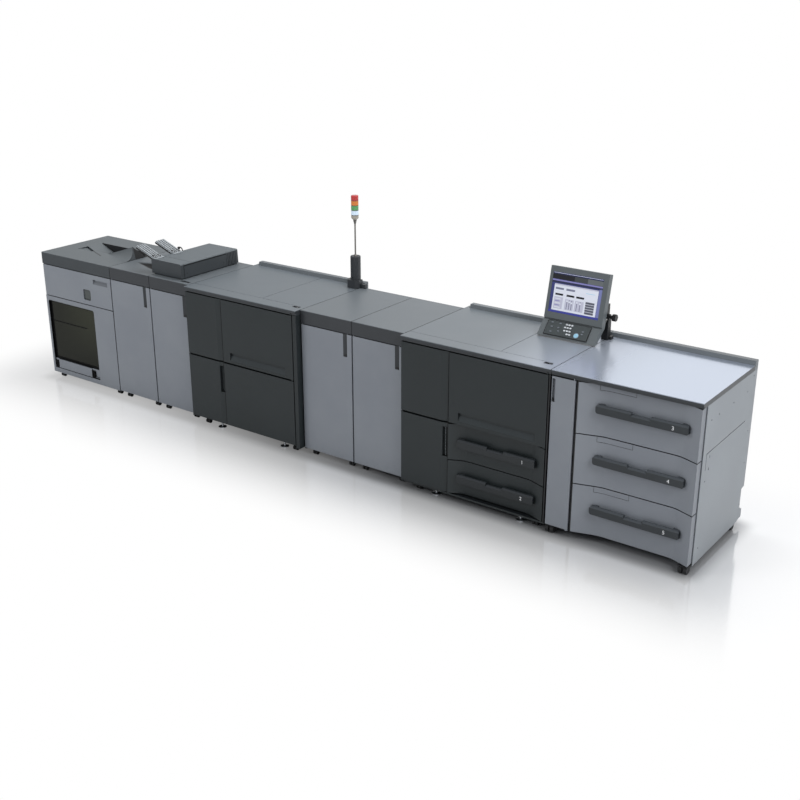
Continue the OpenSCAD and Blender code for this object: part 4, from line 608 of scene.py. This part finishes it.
# hinge covers: a cap over each black hinge block, with two ribs
coverTrim = {"wide": 38, "tall": 58, "places": (3, 450), "behind": 12, "cap": (12.6, 2.4, 0.8),
             "ribs": (4, 26), "ribWide": 8.8, "ribIn": 7.6, "rib": (3.4, 1.4, 0.8)}
covers = newParts()
for place in coverTrim["places"]:
    coverCorner = Vector((paneLow.x + place, unitFront, doorLow.z))
    addSlab(covers, coverCorner + Vector((-0.3, coverTrim["behind"], -0.2)), right, up,
            (coverTrim["wide"] + 0.6, coverTrim["tall"] + 0.4), coverTrim["cap"])
    for rib in coverTrim["ribs"]:
        addSlab(covers, coverCorner + Vector((rib - 0.4, 0, coverTrim["ribIn"])), right, up,
                (coverTrim["ribWide"], coverTrim["tall"] - 2 * coverTrim["ribIn"]), coverTrim["rib"])
makePiece("hingeCovers", covers, [coats["extrudedRubberBlack"]], "stacker_window_door")

# cup round the lock in the upper door: a skin in the recess, and its raised floor
cupTrim = {"wide": 84, "fromRight": 326, "belowTop": 219.6, "deep": 9, "skin": (0.8, 13.6, 0.3),
           "floorIn": (14, 12), "floor": (1.2, 8, 0.8)}
cupCorner = Vector((boxOf("stacker_upper_door")[1].x - cupTrim["fromRight"], unitFront + cupTrim["deep"],
                    boxOf("stacker_top")[0].z - cupTrim["belowTop"]))
floorX, floorZ = cupTrim["floorIn"]
cup = newParts()
addSlab(cup, cupCorner + (right + up) * 0.4, right, up, (cupTrim["wide"] - 0.8,) * 2, cupTrim["skin"])
addSlab(cup, cupCorner + Vector((floorX, -0.8, floorZ)), right, up,
        (cupTrim["wide"] - 2 * floorX, cupTrim["wide"] - 2 * floorZ), cupTrim["floor"])
makePiece("lockCup", cup, [coats["mouldedAbsOlive"]], "stacker_upper_door")
print("stacker trimmed")

# ---- liners in the long pocket grips of the doors, painted shade: a dark skin on the slope and a black cap at its foot ----
gripTrim = {"tall": 156, "wide": 35, "fromEdge": 36, "deep": 15, "slopeShare": 0.7, "inset": 2,
            "belowTop": 6, "skin": (0.5, 1, 0.2), "footTall": 13, "cap": (2.4, 2, 0.6)}
slope = Vector((gripTrim["wide"] * gripTrim["slopeShare"], gripTrim["deep"], 0))
slopeLong = slope.length - gripTrim["inset"]
slope.normalize()
gripFoot = boxOf("unit_tops")[0].z - gripTrim["belowTop"] - gripTrim["tall"]
for door in ("relay_1_door", "relay_2_door", "fold_door", "guide_door"):
    low, high = boxOf(door)
    corner = Vector((high.x - gripTrim["fromEdge"] - gripTrim["wide"], low.y, gripFoot))
    corner += slope * gripTrim["inset"]
    liner = newParts()
    addSlab(liner, corner + up * 0.5, slope, up, (slopeLong - 0.5, gripTrim["tall"] - 1), gripTrim["skin"])
    addSlab(liner, corner + slope * 4 + up, slope, up, (slopeLong - 5, gripTrim["footTall"]),
            gripTrim["cap"], 1)
    makePiece("gripShadeLiner_" + door, liner, [coats["glassFilledNylonDark"], coats["mouldedAbsBlack"]], door)

# black cap at the foot of the narrow door's grip: painted shade
narrowTrim = {"size": (9.45, 13), "fromEdge": 4.6, "behind": 14.6, "belowTop": 160.6, "cap": (12, 2, 1)}
low = boxOf("feeder_door")[0]
corner = Vector((low.x + narrowTrim["fromEdge"], low.y + narrowTrim["behind"],
                 boxOf("machine_tops")[0].z - narrowTrim["belowTop"]))
narrowShadeCap = newParts()
addSlab(narrowShadeCap, corner, right, up, narrowTrim["size"], narrowTrim["cap"])
makePiece("narrowGripShadeCap", narrowShadeCap, [coats["mouldedAbsBlack"]], "feeder_door")

# liners of the slanted grips in the front doors of the engines
slantTrim = {"startShare": 0.104, "lengthShare": 0.79, "deep": 15, "tall": 39, "foot": 564,
             "skin": (0.5, 1, 0.2)}
slant = Vector((0, slantTrim["deep"], slantTrim["tall"]))
slantLong = slant.length
slant.normalize()
for engine in ("engine_1", "engine_2"):
    low, high = boxOf(engine + "_front_door")
    wide = high.x - low.x
    corner = Vector((low.x + wide * slantTrim["startShare"], low.y, slantTrim["foot"]))
    liner = newParts()
    addSlab(liner, corner + slant * 2.5 + right, right, slant,
            (wide * slantTrim["lengthShare"] - 2, slantLong - 4), slantTrim["skin"])
    makePiece("slantLiner_" + engine, liner, [coats["glassFilledNylonSmoke"]],
              engine + "_front_door")

# ---- black strips in the gaps between the left covers and the front doors: painted shade ----
seamShadeTrim = {"fromDoor": 5.5, "behind": 6, "foot": 64, "size": (5, 936), "strip": (3, 1, 0.5)}
seamShades = newParts()
for door in ("engine_1_front_door", "engine_2_front_door"):
    low = boxOf(door)[0]
    corner = Vector((low.x - seamShadeTrim["fromDoor"], low.y + seamShadeTrim["behind"], seamShadeTrim["foot"]))
    addSlab(seamShades, corner, right, up, seamShadeTrim["size"], seamShadeTrim["strip"])
# and along the lid of the sheet inserter, whose right side leans in: painted shade in its seams
lidTrim = {"below": 17.5, "wide": 4.5, "uprightWide": 3.4, "wrap": 29, "cap": 125, "foot": 9,
           "leanIn": 5, "leanTall": 98, "sunk": 0.6, "strip": (1.2, 0.8, 0.3)}
insertLow, insertHigh = boxOf("inserter_box")
sideUp = Vector((-lidTrim["leanIn"], 0, lidTrim["leanTall"])).normalized()
sideTall = insertHigh.z - insertLow.z - lidTrim["foot"] - lidTrim["below"]
sideFoot = Vector((insertHigh.x - lidTrim["sunk"], insertLow.y + lidTrim["wrap"],
                   insertLow.z + lidTrim["foot"]))
lidLong = insertHigh.y - insertLow.y - lidTrim["wrap"] - lidTrim["cap"]
for corner, size in ((sideFoot + sideUp * sideTall, (lidLong, lidTrim["wide"])),
                     (sideFoot + sideUp, (lidTrim["uprightWide"], sideTall - 1))):
    addSlab(seamShades, corner, back, sideUp, size, lidTrim["strip"])
makePiece("seamShadeStrips", seamShades, [coats["extrudedRubberBlack"]], "frame")

# pale studs on the ribbed bar in the side door's grip
studTrim = {"fromEdge": 20, "behind": 15.1, "foot": 306, "pitch": 10, "count": 19, "side": 3.4,
            "stud": (1.4, 0.6, 0.3)}
low, high = boxOf("engine_1_side_door")
studs = newParts()
for order in range(1, studTrim["count"] + 1):
    middle = Vector((high.x - studTrim["fromEdge"], low.y + studTrim["behind"],
                     studTrim["foot"] + studTrim["pitch"] * order))
    addSlab(studs, middle - (right + up) * studTrim["side"] / 2, right, up, (studTrim["side"],) * 2,
            studTrim["stud"], turns=2)
makePiece("gripStuds", studs, [coats["mouldedAbsPaleGrey"]], "engine_1_side_door")
print("grips lined")

# ---- dark strip along the hand hollow's edge on the stacker's top: painted shade of the step ----
edgeShadeTrim = {"path": ((-2462, -92), (-2376, -128), (-2286, -164)), "wide": 7, "thick": 0.8, "narrowing": 0.7}
topPlane = boxOf("unit_tops")[1].z
edgeShadeRings = []
for point, along in stepsAlong([(x, y, topPlane) for x, y in edgeShadeTrim["path"]]):
    aside = up.cross(along) * edgeShadeTrim["wide"] / 2
    crest = point + up * edgeShadeTrim["thick"]
    edgeShadeRings.append([point - aside, point + aside, crest + aside * edgeShadeTrim["narrowing"],
                      crest - aside * edgeShadeTrim["narrowing"]])
edgeShade = newParts()
addRings(edgeShade, edgeShadeRings)
makePiece("hollowShadeLine", edgeShade, [coats["mouldedAbsBlack"]], "frame")

# ---- latches in the tops: a well floor and a rim, with a zinc tongue in the engines' wells ----
latchTrim = {"fromRight": 86, "fromFront": 72, "deep": 10, "size": (50, 20), "floor": (1.5, 2, 0.3),
             "rimWide": 2.6, "rimOut": (54, 24), "rim": (0.8, 0.52, 0), "tongueAt": (29, 5, 1.5),
             "tongueSize": (15, 10), "tongue": (7, 2, 1)}
slotTrim = {"left": -1239, "fromFront": 36, "deep": 13, "size": (76, 13), "floor": (1, 2, 0.2),
            "rimWide": 4.6, "rimOut": (84, 21), "rim": (0.9, 0.92, 0)}
frontEdge = boxOf("machine_tops")[0].y
latches = newParts()


def addWell(left, front, trim):
    # the rim lies round the well's mouth, rimOut is its outer size
    well = Vector((left, front + trim["fromFront"], topPlane - trim["deep"]))
    long, wide = trim["size"]
    outside = (trim["rimOut"][0] - long) / 2
    addSlab(latches, well + (right + back) * 0.5, right, back, (long - 1, wide - 1), trim["floor"])
    addFrame(latches, well - (right + back) * outside + up * (trim["deep"] + 0.05), right, back,
             trim["rimOut"], (trim["rimWide"],) * 4, trim["rim"], turns=2)
    return well


for housing in ("engine_1_housing", "engine_2_housing"):
    well = addWell(boxOf(housing)[1].x - latchTrim["fromRight"], frontEdge, latchTrim)
    addSlab(latches, well + Vector(latchTrim["tongueAt"]), right, back, latchTrim["tongueSize"],
            latchTrim["tongue"], 1)
addWell(slotTrim["left"], unitFront, slotTrim)
makePiece("topLatches", latches, [coats["mouldedAbsBlack"], zincPlate], "frame")

# ---- screws in the feeder's side panel, plugs in the inserter's side ----
screwTrim = {"pitchY": 107, "pitchZ": 138, "head": 4.1, "sunk": 2.8, "plugSunk": 7, "plugHeight": 1080,
             "plugPlaces": (-232.5, 144.5), "plug": [(3.7, 0), (3.7, 5.5), (2.6, 6.2)]}
screwPlaces = [(-264.5 + screwTrim["pitchY"] * n, 906) for n in (0, 1, 3, 5)]
screwPlaces += [(350.5, 152 + screwTrim["pitchZ"] * n) for n in (0, 2, 3.5, 6)]
screwPlaces += [(-276.5, 128 + screwTrim["pitchZ"] * n) for n in (0, 3)]
panelPlane = boxOf("feeder_side_panel")[1].x - screwTrim["sunk"]
plugPlane = insertHigh.x - screwTrim["plugSunk"]
screws = newParts()
for y, z in screwPlaces:
    addScrew(screws, Vector((panelPlane, y, z)), right, screwTrim["head"])
for y in screwTrim["plugPlaces"]:
    addTurned(screws, Vector((plugPlane, y, screwTrim["plugHeight"])), right, screwTrim["plug"], turns=16)
makePiece("sideScrews", screws, [coats["mouldedAbsBlack"]], "frame")

# ---- sheet guides: black strips painted as shade in the grooves and on the front cheek, clips, knob and lever ----
guideTrim = {"tilt": 20, "foot": 20, "plateUnder": 4, "fronts": (-96.5, -288.5), "pitch": 21.5, "cheek": 3,
             "plate": 2.9, "groove": 6.8, "grooveThick": 1.2, "stripAt": (192, 10.5), "stripSize": (188, 13),
             "strip": (0.8, 1, 0.3), "clips": ((10, 34, 26), (58, 30, 24)), "clipFrom": 6, "clipThick": 7.2,
             "pads": ((16, 10, 14), (64, 10, 12)), "padFrom": 14, "padLift": 10, "padThick": 1.2,
             "knobAt": (-38, 3, 22), "knob": [(9, 0), (11, 2), (11, 10), (8.5, 12.5), (4, 13)]}
tilt = math.radians(guideTrim["tilt"])
guideDown = Vector((math.cos(tilt), 0, -math.sin(tilt)))
guideOut = Vector((math.sin(tilt), 0, math.cos(tilt)))
footPoint = Vector((insertLow.x + guideTrim["foot"], 0, insertHigh.z - guideTrim["plateUnder"]))
guides = newParts()


def addOnGuide(foot, fromFoot, across, length, width, lift, thick, slot=0):
    corner = foot - guideDown * (fromFoot + length) + back * across + guideOut * lift
    shape = (thick, min(width, length) * 0.3, 0.3)
    addSlab(guides, corner, guideDown, back, (length, width), shape, slot, 3)


# black strips painted as shade in the grooves between the slats of each guide: which one, where it starts
# above the foot, how long it is
grooveSets = (((2, 24, 118), (3, 30, 96), (1, 18, 46)), ((2, 20, 40), (1, 34, 40), (3, 16, 90)))
for front, grooves in zip(guideTrim["fronts"], grooveSets):
    foot = footPoint + back * front
    for order, fromFoot, length in grooves:
        across = guideTrim["cheek"] + guideTrim["pitch"] * order - guideTrim["groove"] / 2
        addOnGuide(foot, fromFoot, across, length, guideTrim["groove"], guideTrim["plate"],
                   guideTrim["grooveThick"])
    # black strip on the cheek that faces the front: painted shade
    upTheGuide, under = guideTrim["stripAt"]
    addSlab(guides, foot - guideDown * upTheGuide - guideOut * under, guideDown, guideOut,
            guideTrim["stripSize"], guideTrim["strip"])
    # two clips at the foot, each with a pale pad
    for clip in guideTrim["clips"]:
        addOnGuide(foot, guideTrim["clipFrom"], *clip, guideTrim["plate"], guideTrim["clipThick"])
    for pad in guideTrim["pads"]:
        addOnGuide(foot, guideTrim["padFrom"], *pad, guideTrim["padLift"], guideTrim["padThick"], 1)
knobPlace = footPoint + Vector(guideTrim["knobAt"])
addTurned(guides, knobPlace - back * 6, back, guideTrim["knob"], turns=20)
leverPath = ((-4, 4), (8, 9), (20, 8), (30, 2), (36, -8), (38, -17))
leverRings = []
for point, along in stepsAlong([knobPlace + Vector((x, 2, z)) for x, z in leverPath]):
    aside, sideways = back.cross(along) * 3, back * 2.5
    leverRings.append([point + aside - sideways, point + aside + sideways,
                       point - aside + sideways, point - aside - sideways])
addRings(guides, leverRings)
makePiece("guideTrims", guides, [coats["mouldedAbsBlack"], coats["mouldedAbsPaleGrey"]],
          "frame")
print("inserter trimmed")

# ---- rear covers: folded sheets with louvres and screws ----
rearTrim = {"sheet": (1.2, 5, 0.5), "joint": 4, "margin": 10, "twoColumnsOver": 700, "splitShare": 0.46,
            "screwHead": 4, "screwIn": 18, "louvre": (2.2, 2.2, 1.6), "louvreTall": 5, "louvrePitch": 12,
            "louvreRows": 9, "louvreFoot": 40}
rearKinds = {
    # plane and heights of the sheets, 0 for dark or 1 for light; for the louvres how far up they start,
    # and where each field of them starts and ends across the width, as shares
    "engine": (390.5, 60, 1000, 0, 0.1, ((0.08, 0.42), (0.58, 0.92))),
    "feeder": (358.5, 70, 1000, 1, 0.1, ((0.35, 0.65),)),
    "stacker": (329.5, 60, 940, 1, 0.12, ((0.62, 0.9),)),
    "unit": (329.5, 60, 940, 1, 0.1, ((0.25, 0.75),)),
}
rearMachines = (("engine", 784, 1852), ("engine", -1125, -79), ("feeder", 1856, 2770),
                ("stacker", -2777, -1979), ("unit", -1975, -1546), ("unit", -1542, -1129),
                ("unit", -75, 358), ("unit", 362, 780))
rear = newParts()
for kind, left, rightEnd in rearMachines:
    plane, lowest, highest, finish, louvreUp, fields = rearKinds[kind]
    span = rightEnd - left
    columns = 2 if span > rearTrim["twoColumnsOver"] else 1
    wide = (span - 2 * rearTrim["margin"] - rearTrim["joint"] * (columns - 1)) / columns
    split = lowest + (highest - lowest) * rearTrim["splitShare"]
    halfJoint = rearTrim["joint"] / 2
    outer = plane + rearTrim["sheet"][0]
    for column in range(columns):
        edge = left + rearTrim["margin"] + column * (wide + rearTrim["joint"]) + wide
        for low, high in ((lowest, split - halfJoint), (split + halfJoint, highest)):
            addSlab(rear, Vector((edge, plane, low)), -right, up, (wide, high - low),
                    rearTrim["sheet"], finish)
            for x in (edge - rearTrim["screwIn"], edge - wide + rearTrim["screwIn"]):
                for z in (low + rearTrim["screwIn"], high - rearTrim["screwIn"]):
                    addScrew(rear, Vector((x, outer, z)), back, rearTrim["screwHead"], 2)
    for start, end in fields:
        louvreFoot = split + (highest - split) * louvreUp + rearTrim["louvreFoot"]
        for row in range(rearTrim["louvreRows"]):
            corner = Vector((left + span * end, outer, louvreFoot + row * rearTrim["louvrePitch"]))
            size = (span * (end - start), rearTrim["louvreTall"])
            addSlab(rear, corner, -right, up, size, rearTrim["louvre"], finish, 3)
makePiece("rearCovers", rear, [coats["texturedAbsAnthracite"], coats["powderCoatLightGrey"], zincPlate],
          "frame")
print("rear covered")

# ---- floor, backdrop and light ----
stageLooks = {"floor": "#EFF0F2", "paintedContactShadow": "#A0A2A5", "floorRough": 0.1, "floorMirror": 0.42, "size": 120,
              "under": (0.5, 0.37), "within": (2.9, 2.74), "near": (1.27, 0.34), "beside": (3.7, 2.85),
              "towardsStacker": (0.6, -1.8), "leftShade": 0.58, "worldDiffuse": 0.5, "worldLeft": 0.45}


def floorMaterial():
    # polished pale floor: painted contact shadow under the row, rendered shadow and soft mirroring near it,
    # white backdrop further off
    material, tree = startMaterial("polishedPaleFloor")
    here = addNode(tree, "TexCoord").outputs["Object"]
    axes = addNode(tree, "SeparateXYZ", {}, {0: here}).outputs
    ahead = addNode(tree, "Math", {"operation": "ABSOLUTE"}, {0: axes["Y"]})
    beside = addNode(tree, "Math", {"operation": "ABSOLUTE"}, {0: axes["X"]})
    steps = {}
    for name, source in (("under", ahead), ("within", beside), ("near", ahead), ("beside", beside)):
        start, end = stageLooks[name]
        steps[name] = addNode(tree, "MapRange", softStep, {"Value": source, 1: start, 2: end})
    # painted contact shadow: the floor darkens under and just in front of the row
    paintedContactShadow = addNode(tree, "Math", times, {0: steps["under"], 1: steps["within"]})
    colour = addNode(tree, "Mix", colourMix, {
        0: paintedContactShadow, 6: toLinear(stageLooks["floor"]), 7: toLinear(stageLooks["paintedContactShadow"])})
    shader = addNode(tree, "BsdfPrincipled", {}, {
        "Base Color": colour, "Roughness": stageLooks["floorRough"], "Metallic": stageLooks["floorMirror"]})
    shadeFrom, shadeTo = stageLooks["towardsStacker"]
    sideways = addNode(tree, "MapRange", {}, {"Value": axes["X"], "From Min": shadeFrom, "From Max": shadeTo,
                                              "To Min": 1.0, "To Max": stageLooks["leftShade"]})
    kept = addNode(tree, "Math", times, {0: steps["near"], 1: steps["beside"]})
    kept = addNode(tree, "Math", times, {0: kept, 1: sideways})
    faded = addNode(tree, "Math", {"operation": "SUBTRACT"}, {0: 1.0, 1: kept})
    rays = addNode(tree, "LightPath")
    seen = addNode(tree, "Math", times, {0: faded, 1: rays.outputs["Is Camera Ray"]})
    white = addNode(tree, "Emission", {}, {"Color": (1, 1, 1, 1), "Strength": 1.0})
    mixed = addNode(tree, "MixShader", {}, {0: seen, 1: shader, 2: white})
    addNode(tree, "OutputMaterial", {}, {0: mixed})
    return material


bpy.ops.mesh.primitive_plane_add(size=stageLooks["size"], location=(0, 0, -0.0004))
floor = bpy.context.object
floor.name = "floorStage"
floor.data.materials.append(floorMaterial())

world = bpy.data.worlds.new("paleStudio")
scene.world = world
world.use_nodes = True
sky = world.node_tree
sky.nodes.clear()
rays = addNode(sky, "LightPath").outputs
view = addNode(sky, "TexCoord")
towards = addNode(sky, "SeparateXYZ", {}, {0: view.outputs["Generated"]}).outputs
# the studio is white behind the row, and dimmer towards the stacker's end
bearing = addNode(sky, "Math", {"operation": "ARCTAN2"}, {0: towards["X"], 1: towards["Y"]})
dimmer = addNode(sky, "MapRange", softStep, {"Value": bearing, 1: -0.78, 2: -0.5})
gloss = addNode(sky, "MapRange", {}, {"Value": dimmer, "To Min": stageLooks["worldLeft"], "To Max": 1.0})
diffuseSky, glossSky, seenSky = [addNode(sky, "Background", {}, {"Color": (1, 1, 1, 1), "Strength": strength})
                                 for strength in (stageLooks["worldDiffuse"], gloss, 1.0)]
seen = addNode(sky, "Math", larger, {0: rays["Is Camera Ray"], 1: rays["Is Transmission Ray"]})
glossed = addNode(sky, "MixShader", {}, {0: rays["Is Glossy Ray"], 1: diffuseSky, 2: glossSky})
mixed = addNode(sky, "MixShader", {}, {0: seen, 1: glossed, 2: seenSky})
addNode(sky, "OutputWorld", {}, {0: mixed})

lampList = [
    # name, place, aims at, size in m, watts
    ("keySoftbox", (6.7, -1.9, 5.0), (1.8, 0.1, 0.6), (3.0, 2.4), 235),
    ("frontSoftbox", (-4.6, -6.4, 5.2), (-1.2, 0, 0.5), (4.6, 2.0), 264),
    ("topSoftbox", (0.5, 1.5, 5.5), (0.5, 0, 0), (7.0, 2.0), 170),
]
for name, place, aim, size, watts in lampList:
    data = bpy.data.lights.new(name, "AREA")
    data.shape = "RECTANGLE"
    data.size, data.size_y = size
    data.energy = watts
    lamp = bpy.data.objects.new(name, data)
    lamp.location = place
    lamp.rotation_euler = (Vector(aim) - Vector(place)).to_track_quat("-Z", "Y").to_euler()
    lamp.visible_glossy = False
    scene.collection.objects.link(lamp)
print("stage and light set")
